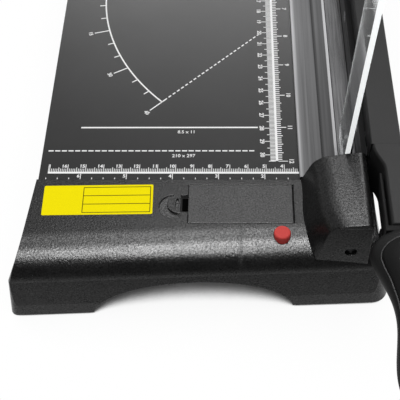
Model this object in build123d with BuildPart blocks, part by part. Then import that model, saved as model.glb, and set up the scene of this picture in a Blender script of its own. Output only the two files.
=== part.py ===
from build123d import *
import os
from math import cos, radians, sin, sqrt

# Desk guillotine for A4 paper, millimetres.
# x runs right across the table, y runs away from the user, z runs up.
# The origin lies on the floor under the middle of the bed.

# Bed
bed_width = 175.5
bed_length = 317.6
table_height = 50.0
table_sheet = 1.5
frame_sheet = 1.5
frame_inset = 4.5
frame_depth = 36.0
lip_cover = 2.4
lip_rise = 1.2
fit_gap = 0.05
part_gap = 0.3

# Lower knife, fence and paper clamp
knife_width = 9.5
knife_height = 12.0
knife_screw_count = 4
knife_screw_inset = 32.0
knife_screw_reach = 4.8
fence_depth = 8.0
fence_height = 7.0
fence_slope_run = 2.7
fence_slope_rise = 3.5
fence_edge = 1.0
clamp_width = 22.0
clamp_thick = 2.0
clamp_groove = 0.6
clamp_groove_x = 1.8
clamp_edge = 0.5
clamp_lift = 4.0
clamp_pin_dia = 5.0
clamp_pin_edge = 0.6
clamp_pin_stay = 10.0
clamp_pin_inset = 26.0
run_gap = 0.05

# Front and rear end caps
cap_wall = 3.0
cap_clear = 1.5
cap_lip_back = 1.0
cap_front_run = 21.0
cap_shoulder = 2.4
shoulder_height = 31.5
cap_skew = 2.76
left_flare_front = 16.5
left_flare_lip = 8.0
left_mid_front = 12.8
left_mid_lip = 5.0
left_top_lip = 0.6
left_top_flare = 5.0
right_flare_front = 19.0
right_flare_lip = 13.0
right_mid_front = 14.0
right_mid_lip = 10.0
right_top_flare = 7.0
left_corner = 4.0
right_corner = 9.0
arch_width = 110.0
arch_height = 26.6
arch_offset = 90.0
rear_cap_depth = 44.0
rear_cap_flat = 24.0
foot_dia = 14.0
foot_height = 4.0
foot_edge = 0.7
foot_boss_wall = 2.5
foot_inset_x = 10.0
foot_inset_y = 30.0
rear_foot_inset = 22.0

# Battery box, door and push button
door_length = 56.3
door_width = 25.6
door_thick = 2.0
door_right = 35.9
door_back = 4.7
door_front_margin = 6.7
door_gap = 0.25
door_ledge = 2.0
door_pin_dia = 1.2
door_pin_reach = 1.2
latch_slot_length = 3.6
latch_slot_width = 11.4
latch_catch_width = 8.0
latch_catch_thick = 1.0
latch_scoop_radius = 7.8
latch_scoop_depth = 1.4
latch_scoop_tilt = 4.5
latch_scoop_x = 3.9
latch_scoop_y = 2.0
latch_pad_radius = 6.2
latch_pad_x = 1.0
latch_eye_length = 7.0
latch_eye_width = 1.8
tray_wall = 1.2
battery_dia = 10.5
battery_length = 44.5
cell_nub = 0.8
cell_nub_dia = 4.2
contact_sheet = 0.4
contact_height = 8.4
spring_wide = 7.6
spring_narrow = 4.2
button_dia = 8.8
button_rise = 1.4
button_edge = 1.1
button_stroke = 1.2
button_x = 42.6
button_past_flat = 0.1
button_flange = 1.4
board_length = 26.0
board_width = 12.0
board_thick = 1.6
board_round = 1.6
board_post_spread = 19.8
board_post_dia = 5.0
switch_size = 6.0
switch_body = 2.8
switch_height = 4.0
switch_cap_dia = 3.6

# Laser housing, measured from the cutting line and the table's top
hood_left_back = 31.45
hood_left_mid = 31.25
hood_left_bend = 28.85
hood_left_front = 21.85
hood_mid_run = 20.0
hood_bend_run = 36.0
hood_ridge_back = 24.45
hood_ridge_front = 18.6
hood_ridge_low = 20.0
hood_ridge_high = 21.6
hood_height_back = 24.7
hood_height_front = 23.3
hood_setback = 11.4
hood_right = 2.4
hood_top_right = 1.7
hood_round = 13.0
hood_edge = 3.5
hood_back_gap = 1.2
hood_skirt = 17.0
hood_lip = 1.2
hood_lip_z = 19.8
hood_screw_x = 7.5
hood_screw_z = -1.8
hood_screw_length = 9.0
hood_screw_dia = 3.0
hood_screw_head = 5.8
hood_screw_head_thick = 1.5
hood_screw_sink = 3.0
laser_sink = 4.5
laser_dia = 5.0
laser_length = 18.0
laser_edge = 0.5
laser_x = 1.6
laser_z = 14.0
lens_thick = 1.0

# Clear finger guard, swung up and leaning back against the housing
guard_width = 25.0
guard_thick = 2.7
guard_length = 272.0
guard_round = 6.0
guard_lean = 10.0
guard_pin_dia = 4.0
guard_pivot_z = 15.0
lug_thick = 2.2
lug_foot = 2.0
lug_radius = 7.0

# Cutting arm
blade_gap = 0.3
blade_thick = 3.0
blade_over = 16.0
blade_under = 11.0
blade_far_under = 5.0
blade_bevel_rise = 2.7
blade_bevel_in = 1.65
blade_screw_count = 4
blade_screw_inset = 26.0
beam_width = 15.9
beam_top = 30.0
beam_height = 24.0
beam_wall = 3.0
beam_edge = 0.6
pivot_back = 24.0
pivot_z = 10.0
pivot_boss_radius = 15.0
pivot_eye_run = 24.0
pivot_bolt_dia = 8.0
pivot_head_dia = 15.0
pivot_head_thick = 4.0
bush_wall = 1.5
bracket_thick = 7.7
bracket_foot = 36.0
bracket_eye = 14.0
bracket_screw_spread = 18.0
bracket_screw_z = 18.0
bracket_screw_reach = 9.0
blade_clear = 3.5
washer_dia = 20.0
spring_thick = 2.0
pivot_cap_wall = 1.5
screw_dia = 4.0
screw_head_dia = 7.0
screw_head_thick = 2.0
screw_boss_dia = 8.0

# Handle
handle_step = 5.5
handle_width = 14.0
handle_rib = 2.6
handle_rib_thick = 1.0
handle_rib_drop = 2.2
handle_groove = 8.0
handle_root_length = 52.0
handle_bend = 18.0
handle_edge = 1.5
tang_width = 9.0
tang_height = 9.0
tang_length = 50.0
tang_rise = 19.0
grip_end_width = 24.0
grip_end_height = 19.0
grip_bulb_run = 10.0
grip_bulb_width = 35.6
grip_bulb_height = 25.0
grip_taper_run = 31.0
grip_taper_width = 22.0
grip_taper_height = 19.0
grip_neck_run = 47.0
grip_neck_width = 17.8
grip_neck_height = 17.6
grip_heel_run = 76.0
grip_heel_width = 23.0
grip_heel_height = 20.0
grip_length = 88.0
grip_tip_width = 17.0
grip_tip_height = 15.0
grip_round = 4.0
grip_gap = 0.2
stop_width = 7.0
stop_length = 9.0
stop_round = 1.8
stop_pad = 2.6
stop_pad_edge = 0.6
stop_from_cut = 11.5
stop_from_lip = 38.0
handle_low = 2.0
collar_thick = 3.0
collar_height = 27.0
collar_width = 20.0
handle_pin_dia = 4.0
handle_pin_inset = 7.2
handle_pin_pitch = 10.8
spigot_length = 24.0

# Places worked out from the sizes above
cut_x = bed_width / 2
left_x = -bed_width / 2
lip_y = -bed_length / 2
fence_y = bed_length / 2
top_z = table_height
cap_top = top_z + lip_rise
rear_lip_y = fence_y + fence_depth
table_front = lip_y - lip_cover
table_back = rear_lip_y + lip_cover
table_middle_y = (table_front + table_back) / 2
table_length = table_back - table_front
knife_left = cut_x - knife_width
knife_screw_z = top_z - table_sheet - frame_sheet - screw_head_dia / 2 - part_gap
knife_screw_pitch = (bed_length - 2 * knife_screw_inset) / (knife_screw_count - 1)
knife_screw_ys = [lip_y + knife_screw_inset + i * knife_screw_pitch for i in range(knife_screw_count)]
clamp_right = knife_left - part_gap
clamp_left = clamp_right - clamp_width
clamp_x = (clamp_left + clamp_right) / 2
clamp_front = lip_y + part_gap
clamp_back = fence_y - part_gap
clamp_pin_ys = [clamp_front + clamp_pin_inset, clamp_back - clamp_pin_inset]
door_x = cut_x - door_right - door_length / 2
door_y = lip_y - door_back - door_width / 2
door_left = door_x - door_length / 2
hinge_x = door_x + door_length / 2 - door_thick / 2
hinge_z = cap_top - door_thick / 2
latch_slot_left = door_left - 2 * door_gap - latch_slot_length
cap_flat = door_back + door_width + door_front_margin
cap_depth = cap_flat + cap_front_run
button_at_x = cut_x - button_x
button_at_y = lip_y - cap_flat - button_past_flat
# the collar of the button clears the hollow's roof, which falls away in an arc
roof_run = cap_front_run - cap_shoulder - cap_wall
roof_fall = cap_top - cap_wall - shoulder_height
roof_radius = (roof_run**2 + roof_fall**2) / (2 * roof_fall)
button_reach = button_past_flat + button_dia / 2 + button_flange
collar_past = min(roof_run, button_reach + (button_at_x - left_x) * sin(radians(cap_skew)))
button_flange_drop = roof_radius - sqrt(roof_radius**2 - collar_past**2) + part_gap
button_low = cap_top - cap_wall - button_flange_drop - button_flange
switch_top = button_low - button_stroke - part_gap
board_z = switch_top - switch_height - board_thick
board_posts = [(button_at_x + side * board_post_spread / 2, button_at_y) for side in (-1, 1)]
front_feet = [(left_x + foot_inset_x, lip_y - foot_inset_y), (cut_x - foot_inset_x, lip_y - foot_inset_y)]
blade_left = cut_x + blade_gap
blade_front = lip_y + blade_clear
beam_left = blade_left + blade_thick
beam_right = beam_left + beam_width
beam_low = top_z + beam_top - beam_height
beam_high = top_z + beam_top
beam_front = lip_y - blade_gap
pivot_y = rear_lip_y + pivot_back
pivot_height = top_z + pivot_z
bracket_right = cut_x - part_gap
bracket_left = bracket_right - bracket_thick
bracket_screws_at = [(pivot_y + side * bracket_screw_spread / 2, bracket_screw_z) for side in (-1, 1)]
rear_feet = [
    (left_x + foot_inset_x, rear_lip_y + rear_foot_inset),
    (bracket_left - foot_inset_x - foot_dia, rear_lip_y + rear_foot_inset),
]
handle_bottom = top_z + handle_low
stop_x = cut_x + stop_from_cut
stop_y = lip_y - stop_from_lip
stop_top = handle_bottom - part_gap - stop_pad
hood_back_y = lip_y - hood_back_gap
hood_front_y = lip_y - cap_depth + hood_setback
hood_run = hood_back_y - hood_front_y + hood_lip
hood_screw_at_x = cut_x - hood_screw_x
hood_screw_at_z = top_z + hood_screw_z
laser_at_x = cut_x - laser_x
laser_at_z = top_z + laser_z
guard_left = cut_x - knife_width
guard_tilt = radians(guard_lean)
# the guard leans on the upper back edge of the housing
guard_climb = (hood_height_back - guard_pivot_z + guard_width / 2 * sin(guard_tilt)) / cos(guard_tilt)
guard_y = hood_back_y + part_gap + guard_width / 2 * cos(guard_tilt) + guard_climb * sin(guard_tilt)
guard_z = top_z + guard_pivot_z
os.makedirs("parts", exist_ok=True)


def finish(piece, name):
    """Labels a finished piece and writes its file."""
    piece.part.label = name
    export_step(piece.part, f"parts/{name}.step")


def front_outline(height, left_lip, left_front, right_lip, right_front, inset):
    """Plan of the front cap at one height, drawn in by the inset on its outer sides."""
    skew_run = (left_front + bed_width + right_front) * sin(radians(cap_skew))
    lip = lip_y - cap_lip_back + inset
    with BuildSketch(Plane.XY.offset(height)) as outline:
        with BuildLine():
            Polyline(
                (left_x - left_lip + inset, lip),
                (left_x - left_front + inset, lip_y - cap_depth + inset),
                (cut_x + right_front - inset, lip_y - cap_depth + skew_run + inset),
                (cut_x + right_lip - inset, lip),
                close=True,
            )
        make_face()
        left_vertex = outline.vertices().sort_by(Axis.X)[:2].sort_by(Axis.Y)[0]
        fillet(left_vertex, max(left_corner - inset, part_gap))
        right_vertex = outline.vertices().sort_by(Axis.X)[-2:].sort_by(Axis.Y)[0]
        fillet(right_vertex, max(right_corner - inset, part_gap))
    return outline.sketch


def front_block(inset):
    """Front cap's outer form, or its hollow when drawn in by the wall."""
    low = -cap_wall if inset else cap_clear
    high = cap_top - inset
    low_flares = (left_flare_lip, left_flare_front, right_flare_lip, right_flare_front)
    mid_flares = (left_mid_lip, left_mid_front, right_mid_lip, right_mid_front)
    top_flares = (left_top_lip, left_top_flare, right_top_flare, right_top_flare)
    bottom = front_outline(low, *low_flares, inset)
    middle = front_outline(shoulder_height, *mid_flares, inset)
    top = front_outline(high, *top_flares, inset)
    skew = radians(cap_skew)
    side = Plane(
        origin=(left_x, lip_y, 0), x_dir=(-sin(skew), cos(skew), 0), z_dir=(cos(skew), sin(skew), 0)
    )
    shoulder = (-cap_depth + cap_shoulder + inset, shoulder_height)
    foot = (-cap_depth + inset, low)
    with BuildPart() as block:
        loft([bottom.face(), middle.face(), top.face()], ruled=True)
        with BuildSketch(side):
            with BuildLine():
                Line((cap_depth, high), (-cap_flat, high))
                TangentArc((-cap_flat, high), shoulder, tangent=(-1, 0))
                Polyline(shoulder, foot, (cap_depth, low), (cap_depth, high))
            make_face()
        extrude(amount=2 * bed_width, both=True, mode=Mode.INTERSECT)
    return block.part


def rear_block(inset):
    """Rear cap's outer form, or its hollow when drawn in by the wall."""
    low = -cap_wall if inset else cap_clear
    high = cap_top - inset
    right = bracket_left - inset
    lip = rear_lip_y - inset
    with BuildPart() as block:
        with BuildSketch(Plane.XY.offset(low)):
            with BuildLine():
                Polyline(
                    (left_x - left_flare_lip + inset, lip),
                    (left_x - left_flare_front + inset, rear_lip_y + rear_cap_depth - inset),
                    (right, rear_lip_y + rear_cap_depth - inset),
                    (right, lip),
                    close=True,
                )
            make_face()
        with BuildSketch(Plane.XY.offset(high)):
            with BuildLine():
                Polyline(
                    (left_x - left_top_lip + inset, lip),
                    (left_x - left_top_flare + inset, rear_lip_y + rear_cap_depth - inset),
                    (right, rear_lip_y + rear_cap_depth - inset),
                    (right, lip),
                    close=True,
                )
            make_face()
        loft(ruled=True)
        shoulder = (rear_lip_y + rear_cap_depth - cap_shoulder - inset, shoulder_height)
        foot = (rear_lip_y + rear_cap_depth - inset, low)
        with BuildSketch(Plane.YZ):
            with BuildLine():
                Line((lip, high), (rear_lip_y + rear_cap_flat, high))
                TangentArc((rear_lip_y + rear_cap_flat, high), shoulder, tangent=(1, 0))
                Polyline(shoulder, foot, (lip, low), (lip, high))
            make_face()
        extrude(amount=2 * bed_width, both=True, mode=Mode.INTERSECT)
    return block.part


# Table sheet with the two clamp pin holes
with BuildPart() as table_plate:
    with BuildSketch(Plane.XY.offset(top_z - table_sheet)):
        with Locations(((left_x + knife_left) / 2, table_middle_y)):
            Rectangle(knife_left - left_x, table_length)
        with Locations(*[(clamp_x, y) for y in clamp_pin_ys]):
            Circle(clamp_pin_dia / 2 + run_gap, mode=Mode.SUBTRACT)
    extrude(amount=table_sheet)
finish(table_plate, "table_plate")

# Folded steel frame under the table, open below
frame_left = left_x + frame_inset
with BuildPart() as base_frame:
    with BuildSketch(Plane.XZ.offset(-table_back)):
        with BuildLine():
            Polyline(
                (frame_left, top_z - table_sheet),
                (knife_left, top_z - table_sheet),
                (knife_left, top_z - table_sheet - frame_depth),
                (knife_left - frame_sheet, top_z - table_sheet - frame_depth),
                (knife_left - frame_sheet, top_z - table_sheet - frame_sheet),
                (frame_left + frame_sheet, top_z - table_sheet - frame_sheet),
                (frame_left + frame_sheet, top_z - table_sheet - frame_depth),
                (frame_left, top_z - table_sheet - frame_depth),
                close=True,
            )
        make_face()
    extrude(amount=table_length)
    with BuildSketch(Plane.XY.offset(top_z)):
        with Locations(*[(clamp_x, y) for y in clamp_pin_ys]):
            Circle(clamp_pin_dia / 2 + part_gap)
    extrude(amount=-(table_sheet + 2 * frame_sheet), mode=Mode.SUBTRACT)
    with BuildSketch(Plane.YZ.offset(knife_left)):
        with Locations(*[(y, knife_screw_z) for y in knife_screw_ys]):
            Circle(screw_dia / 2 + fit_gap)
    extrude(amount=-2 * frame_sheet, mode=Mode.SUBTRACT)
finish(base_frame, "base_frame")

# Lower knife, a ground steel bar along the cutting line
with BuildPart() as lower_knife:
    with BuildSketch(Plane.XZ.offset(-rear_lip_y)):
        with BuildLine():
            Polyline(
                (knife_left, top_z),
                (cut_x, top_z),
                (cut_x, top_z - knife_height),
                (knife_left, top_z - knife_height),
                close=True,
            )
        make_face()
    extrude(amount=rear_lip_y - lip_y)
    with BuildSketch(Plane.YZ.offset(knife_left)):
        with Locations(*[(y, knife_screw_z) for y in knife_screw_ys]):
            Circle(screw_dia / 2 + fit_gap)
    extrude(amount=knife_screw_reach + fit_gap, mode=Mode.SUBTRACT)
finish(lower_knife, "lower_knife")

# Screws that hold the lower knife, put in from inside the frame
with BuildPart() as knife_screws:
    with BuildSketch(Plane.YZ.offset(knife_left - frame_sheet)):
        with Locations(*[(y, knife_screw_z) for y in knife_screw_ys]):
            Circle(screw_head_dia / 2)
    extrude(amount=-screw_head_thick)
    with BuildSketch(Plane.YZ.offset(knife_left - frame_sheet)):
        with Locations(*[(y, knife_screw_z) for y in knife_screw_ys]):
            Circle(screw_dia / 2)
    extrude(amount=frame_sheet + knife_screw_reach)
finish(knife_screws, "knife_screws")

# Fence at the far end of the table
with BuildPart() as fence:
    with BuildSketch(Plane.YZ.offset(left_x)):
        with BuildLine():
            Polyline(
                (fence_y, top_z),
                (rear_lip_y - fit_gap, top_z),
                (rear_lip_y - fit_gap, top_z + fence_height),
                (fence_y + fence_slope_run, top_z + fence_height),
                (fence_y, top_z + fence_height - fence_slope_rise),
                close=True,
            )
        make_face()
    extrude(amount=knife_left - left_x)
    chamfer(fence.edges().filter_by(Axis.Z), fence_edge)
finish(fence, "fence")

# Paper clamp bar with a shallow groove along it
with BuildPart() as clamp_bar:
    with BuildSketch(Plane.XZ.offset(-clamp_back)):
        with Locations((clamp_x, top_z + fit_gap + clamp_thick / 2)):
            Rectangle(clamp_width, clamp_thick)
        with Locations((clamp_x + clamp_groove_x, top_z + fit_gap + clamp_thick)):
            Rectangle(clamp_groove, clamp_groove, mode=Mode.SUBTRACT)
    extrude(amount=clamp_back - clamp_front)
    upper_edges = clamp_bar.edges().filter_by(Axis.Y).group_by(Axis.Z)[-1].sort_by(Axis.X)
    chamfer([upper_edges[0], upper_edges[-1]], clamp_edge)
finish(clamp_bar, "clamp_bar")

# Guide pins under the clamp bar
with BuildPart() as clamp_pins:
    with BuildSketch(Plane.XY.offset(top_z + fit_gap)):
        with Locations(*[(clamp_x, y) for y in clamp_pin_ys]):
            Circle(clamp_pin_dia / 2)
    extrude(amount=-(clamp_lift + clamp_pin_stay))
    chamfer(clamp_pins.edges().group_by(Axis.Z)[0], clamp_pin_edge)
finish(clamp_pins, "clamp_pins")

# Front cap: moulded shell with an arch between its feet
front_outer = front_block(0)
front_hollow = front_block(cap_wall)
scoop_tilt = radians(latch_scoop_tilt)
scoop_plane = Plane(
    origin=(latch_slot_left - latch_scoop_x, door_y - latch_scoop_y, cap_top - latch_scoop_depth),
    x_dir=(1, 0, 0),
    z_dir=(0, -sin(scoop_tilt), cos(scoop_tilt)),
)
with BuildPart() as front_cap:
    add(front_outer)
    add(front_hollow, mode=Mode.SUBTRACT)
    # arch in the front wall
    with BuildSketch(Plane.XZ.offset(-(lip_y - cap_depth / 2))):
        with Locations((cut_x - arch_offset, 0)):
            Ellipse(arch_width / 2, arch_height)
    extrude(amount=cap_depth, mode=Mode.SUBTRACT)
    # room for the table and its frame under the lip
    with BuildSketch(Plane.XY.offset(top_z + fit_gap)):
        with Locations(((left_x + cut_x) / 2, lip_y)):
            Rectangle(bed_width + 2 * part_gap, 2 * (lip_cover + part_gap))
    extrude(amount=-table_height, mode=Mode.SUBTRACT)
    # bosses for the rubber feet
    with BuildSketch(Plane.XY.offset(cap_clear)):
        with Locations(*front_feet):
            Circle(foot_dia / 2 + foot_boss_wall)
    extrude(amount=cap_top - cap_wall / 2 - cap_clear)
    add(front_outer, mode=Mode.INTERSECT)
    with BuildSketch(Plane.XY):
        with Locations(*front_feet):
            Circle(foot_dia / 2 + fit_gap)
    extrude(amount=foot_height, mode=Mode.SUBTRACT)
    # posts that carry the switch board
    with BuildSketch(Plane.XY.offset(board_z + board_thick)):
        with Locations(*board_posts):
            Circle(board_post_dia / 2)
    extrude(until=Until.NEXT)
    # stop under the handle
    with BuildSketch(Plane.XY.offset(cap_clear)):
        with Locations((stop_x, stop_y)):
            RectangleRounded(stop_width, stop_length, stop_round)
    extrude(amount=stop_top - cap_clear)
    # door seat, battery opening, latch slot and finger scoop
    with BuildSketch(Plane.XY.offset(cap_top)):
        with Locations((door_x, door_y)):
            Rectangle(door_length + 2 * door_gap, door_width + 2 * door_gap)
    extrude(amount=-(door_thick + fit_gap), mode=Mode.SUBTRACT)
    with BuildSketch(Plane.XY.offset(cap_top)):
        with Locations((door_x, door_y)):
            Rectangle(door_length - 2 * door_ledge, door_width - 2 * door_ledge)
    extrude(amount=-(cap_wall + fit_gap), mode=Mode.SUBTRACT)
    with BuildSketch(Plane.XY.offset(cap_top)):
        with Locations(((latch_slot_left + door_left) / 2, door_y)):
            Rectangle(door_left - latch_slot_left, latch_slot_width)
    extrude(amount=-(cap_wall + fit_gap), mode=Mode.SUBTRACT)
    with BuildSketch(scoop_plane):
        Circle(latch_scoop_radius)
        with Locations((latch_scoop_x - latch_pad_x, latch_scoop_y)):
            Circle(latch_pad_radius, mode=Mode.SUBTRACT)
        with Locations((latch_scoop_x - latch_eye_width, latch_scoop_y)):
            Ellipse(latch_eye_width / 2, latch_eye_length / 2)
        with Locations((latch_scoop_x + latch_scoop_radius, 0)):
            Rectangle(2 * latch_scoop_radius, 4 * latch_scoop_radius, mode=Mode.SUBTRACT)
    extrude(amount=cap_wall, mode=Mode.SUBTRACT)
    # sockets for the door's hinge pins
    with BuildSketch(Plane.XZ.offset(-(door_y + door_width / 2 + door_gap + door_pin_reach))):
        with Locations((hinge_x, hinge_z)):
            Circle(door_pin_dia / 2 + run_gap)
    extrude(amount=door_width + 2 * (door_gap + door_pin_reach), mode=Mode.SUBTRACT)
    # push button hole
    with BuildSketch(Plane.XY.offset(cap_top)):
        with Locations((button_at_x, button_at_y)):
            Circle(button_dia / 2 + run_gap)
    extrude(amount=-(cap_wall + button_flange_drop), mode=Mode.SUBTRACT)
    # hole for the screw that holds the laser housing
    with BuildSketch(Plane.XZ.offset(-hood_front_y)):
        with Locations((hood_screw_at_x, hood_screw_at_z)):
            Circle(hood_screw_dia / 2 + fit_gap)
    extrude(amount=-(hood_screw_sink + hood_screw_length + fit_gap), mode=Mode.SUBTRACT)
finish(front_cap, "front_cap")

# Rubber pad on the handle stop
with BuildPart() as stop_cushion:
    with BuildSketch(Plane.XY.offset(stop_top)):
        with Locations((stop_x, stop_y)):
            RectangleRounded(stop_width, stop_length, stop_round)
    extrude(amount=stop_pad)
    fillet(stop_cushion.edges().group_by(Axis.Z)[-1], stop_pad_edge)
finish(stop_cushion, "stop_cushion")

# Rear cap: plainer shell of the same family
rear_outer = rear_block(0)
rear_hollow = rear_block(cap_wall)
with BuildPart() as rear_cap:
    add(rear_outer)
    add(rear_hollow, mode=Mode.SUBTRACT)
    with BuildSketch(Plane.XY.offset(top_z + fit_gap)):
        with Locations(((left_x + knife_left) / 2, rear_lip_y)):
            Rectangle(knife_left - left_x + 2 * part_gap, 2 * (lip_cover + part_gap))
    extrude(amount=-table_height, mode=Mode.SUBTRACT)
    with BuildSketch(Plane.XY.offset(cap_clear)):
        with Locations(*rear_feet):
            Circle(foot_dia / 2 + foot_boss_wall)
    extrude(amount=cap_top - cap_wall / 2 - cap_clear)
    with BuildSketch(Plane.YZ.offset(bracket_left - fit_gap)):
        with Locations(*bracket_screws_at):
            Circle(screw_boss_dia / 2)
    extrude(amount=-bracket_screw_reach)
    add(rear_outer, mode=Mode.INTERSECT)
    with BuildSketch(Plane.XY):
        with Locations(*rear_feet):
            Circle(foot_dia / 2 + fit_gap)
    extrude(amount=foot_height, mode=Mode.SUBTRACT)
    with BuildSketch(Plane.YZ.offset(bracket_left)):
        with Locations(*bracket_screws_at):
            Circle(screw_dia / 2 + fit_gap)
    extrude(amount=-bracket_screw_reach, mode=Mode.SUBTRACT)
finish(rear_cap, "rear_cap")

# Four rubber feet
with BuildPart() as rubber_feet:
    with BuildSketch():
        with Locations(*front_feet, *rear_feet):
            Circle(foot_dia / 2)
    extrude(amount=foot_height - fit_gap)
    chamfer(rubber_feet.edges().group_by(Axis.Z)[0], foot_edge)
finish(rubber_feet, "rubber_feet")

# Push button with the collar that keeps it in its hole
with BuildPart() as laser_button:
    with BuildSketch(Plane.XY.offset(button_low)):
        with Locations((button_at_x, button_at_y)):
            Circle(button_dia / 2 + button_flange)
    extrude(amount=button_flange)
    with BuildSketch(Plane.XY.offset(button_low)):
        with Locations((button_at_x, button_at_y)):
            Circle(button_dia / 2)
    extrude(amount=cap_top + button_rise - button_low)
    fillet(laser_button.edges().group_by(Axis.Z)[-1], button_edge)
finish(laser_button, "laser_button")

# Switch under the button, on its board
with BuildPart() as circuit_board:
    with BuildSketch(Plane.XY.offset(board_z)):
        with Locations((button_at_x, button_at_y)):
            RectangleRounded(board_length, board_width, board_round)
    extrude(amount=board_thick - fit_gap)
finish(circuit_board, "circuit_board")

with BuildPart() as push_switch:
    with BuildSketch(Plane.XY.offset(board_z + board_thick)):
        with Locations((button_at_x, button_at_y)):
            Rectangle(switch_size, switch_size)
    extrude(amount=switch_body)
    with BuildSketch(Plane.XY.offset(board_z + board_thick)):
        with Locations((button_at_x, button_at_y)):
            Circle(switch_cap_dia / 2)
    extrude(amount=switch_height)
finish(push_switch, "push_switch")

# Battery door with hinge pins at its right end and a catch at its left
with BuildPart() as battery_door:
    with BuildSketch(Plane.XZ.offset(-(door_y + door_width / 2))):
        with BuildLine():
            Polyline(
                (hinge_x, cap_top - door_thick),
                (door_left, cap_top - door_thick),
                (door_left, cap_top),
                (hinge_x, cap_top),
            )
            ThreePointArc(
                (hinge_x, cap_top),
                (hinge_x + door_thick / 2, hinge_z),
                (hinge_x, cap_top - door_thick),
            )
        make_face()
    extrude(amount=door_width)
    with BuildSketch(Plane.XZ.offset(-(door_y + door_width / 2 + door_pin_reach))):
        with Locations((hinge_x, hinge_z)):
            Circle(door_pin_dia / 2)
    extrude(amount=door_width + 2 * door_pin_reach)
    with BuildSketch(Plane.XY.offset(cap_top - door_thick)):
        with Locations((door_left - latch_slot_length / 2 + door_gap, door_y)):
            Rectangle(latch_slot_length, latch_catch_width)
    extrude(amount=latch_catch_thick)
finish(battery_door, "battery_door")

# Battery tray under the opening, two cells and their contacts
tray_top = cap_top - cap_wall - fit_gap
tray_inside_length = door_length - 2 * door_ledge
tray_inside_width = door_width - 2 * door_ledge
tray_floor = tray_top - battery_dia - part_gap
cell_z = tray_floor + battery_dia / 2 + fit_gap
cell_ys = [door_y - tray_inside_width / 4, door_y + tray_inside_width / 4]
tray_left = door_x - tray_inside_length / 2
contact_room = tray_inside_length - battery_length - 2 * contact_sheet - 2 * fit_gap
with BuildPart() as battery_tray:
    with BuildSketch(Plane.XY.offset(tray_floor - tray_wall)):
        with Locations((door_x, door_y)):
            Rectangle(tray_inside_length + 2 * tray_wall, tray_inside_width + 2 * tray_wall)
    extrude(amount=tray_top - tray_floor + tray_wall)
    with BuildSketch(Plane.XY.offset(tray_floor)):
        with Locations((door_x, door_y)):
            Rectangle(tray_inside_length, tray_inside_width)
    extrude(amount=tray_top - tray_floor, mode=Mode.SUBTRACT)
finish(battery_tray, "battery_tray")

cell_starts = [tray_left + contact_sheet + fit_gap + contact_room, tray_left + contact_sheet + fit_gap]
with BuildPart() as batteries:
    for side, (cell_y, start) in enumerate(zip(cell_ys, cell_starts)):
        body_start = start + (cell_nub if side else 0)
        with BuildSketch(Plane.YZ.offset(body_start)):
            with Locations((cell_y, cell_z)):
                Circle(battery_dia / 2)
        extrude(amount=battery_length - cell_nub)
        with BuildSketch(Plane.YZ.offset(start)):
            with Locations((cell_y, cell_z)):
                Circle(cell_nub_dia / 2)
        extrude(amount=battery_length)
finish(batteries, "batteries")

with BuildPart() as battery_contacts:
    for wall_x in (tray_left, tray_left + tray_inside_length - contact_sheet):
        with BuildSketch(Plane.YZ.offset(wall_x)):
            with Locations((door_y, cell_z)):
                Rectangle(tray_inside_width - 2 * fit_gap, contact_height)
        extrude(amount=contact_sheet)
    spring_starts = [tray_left + contact_sheet, cell_starts[1] + battery_length + fit_gap]
    spring_ends = [(spring_wide, spring_narrow), (spring_narrow, spring_wide)]
    for cell_y, start, (near_dia, far_dia) in zip(cell_ys, spring_starts, spring_ends):
        with BuildSketch(Plane.YZ.offset(start)):
            with Locations((cell_y, cell_z)):
                Circle(near_dia / 2)
        with BuildSketch(Plane.YZ.offset(start + contact_room)):
            with Locations((cell_y, cell_z)):
                Circle(far_dia / 2)
        loft()
finish(battery_contacts, "battery_contacts")

# Laser housing: a domed hood with an upright front panel under a lip, seated on the cap
def hood_section(run, left):
    """Cross-section of the housing at a distance from its back."""
    share = run / hood_run
    ridge = hood_ridge_back + share * (hood_ridge_front - hood_ridge_back)
    ridge_z = hood_ridge_low + share * (hood_ridge_high - hood_ridge_low)
    height = hood_height_back + share * (hood_height_front - hood_height_back)
    lean = (left - ridge) / (ridge_z - lip_rise)
    with BuildSketch(Plane.XZ.offset(-(hood_back_y - run))) as section:
        with BuildLine():
            Polyline(
                (cut_x - left - lean * (hood_skirt + lip_rise), top_z - hood_skirt),
                (cut_x - ridge, top_z + ridge_z),
                (cut_x + hood_top_right, top_z + height),
                (cut_x + hood_right, top_z - hood_skirt),
                close=True,
            )
        make_face()
        fillet(section.vertices().sort_by(Axis.Y)[2:].sort_by(Axis.X)[0], hood_round)
        fillet(section.vertices().sort_by(Axis.Y)[-1], hood_edge)
    return section.sketch


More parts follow.
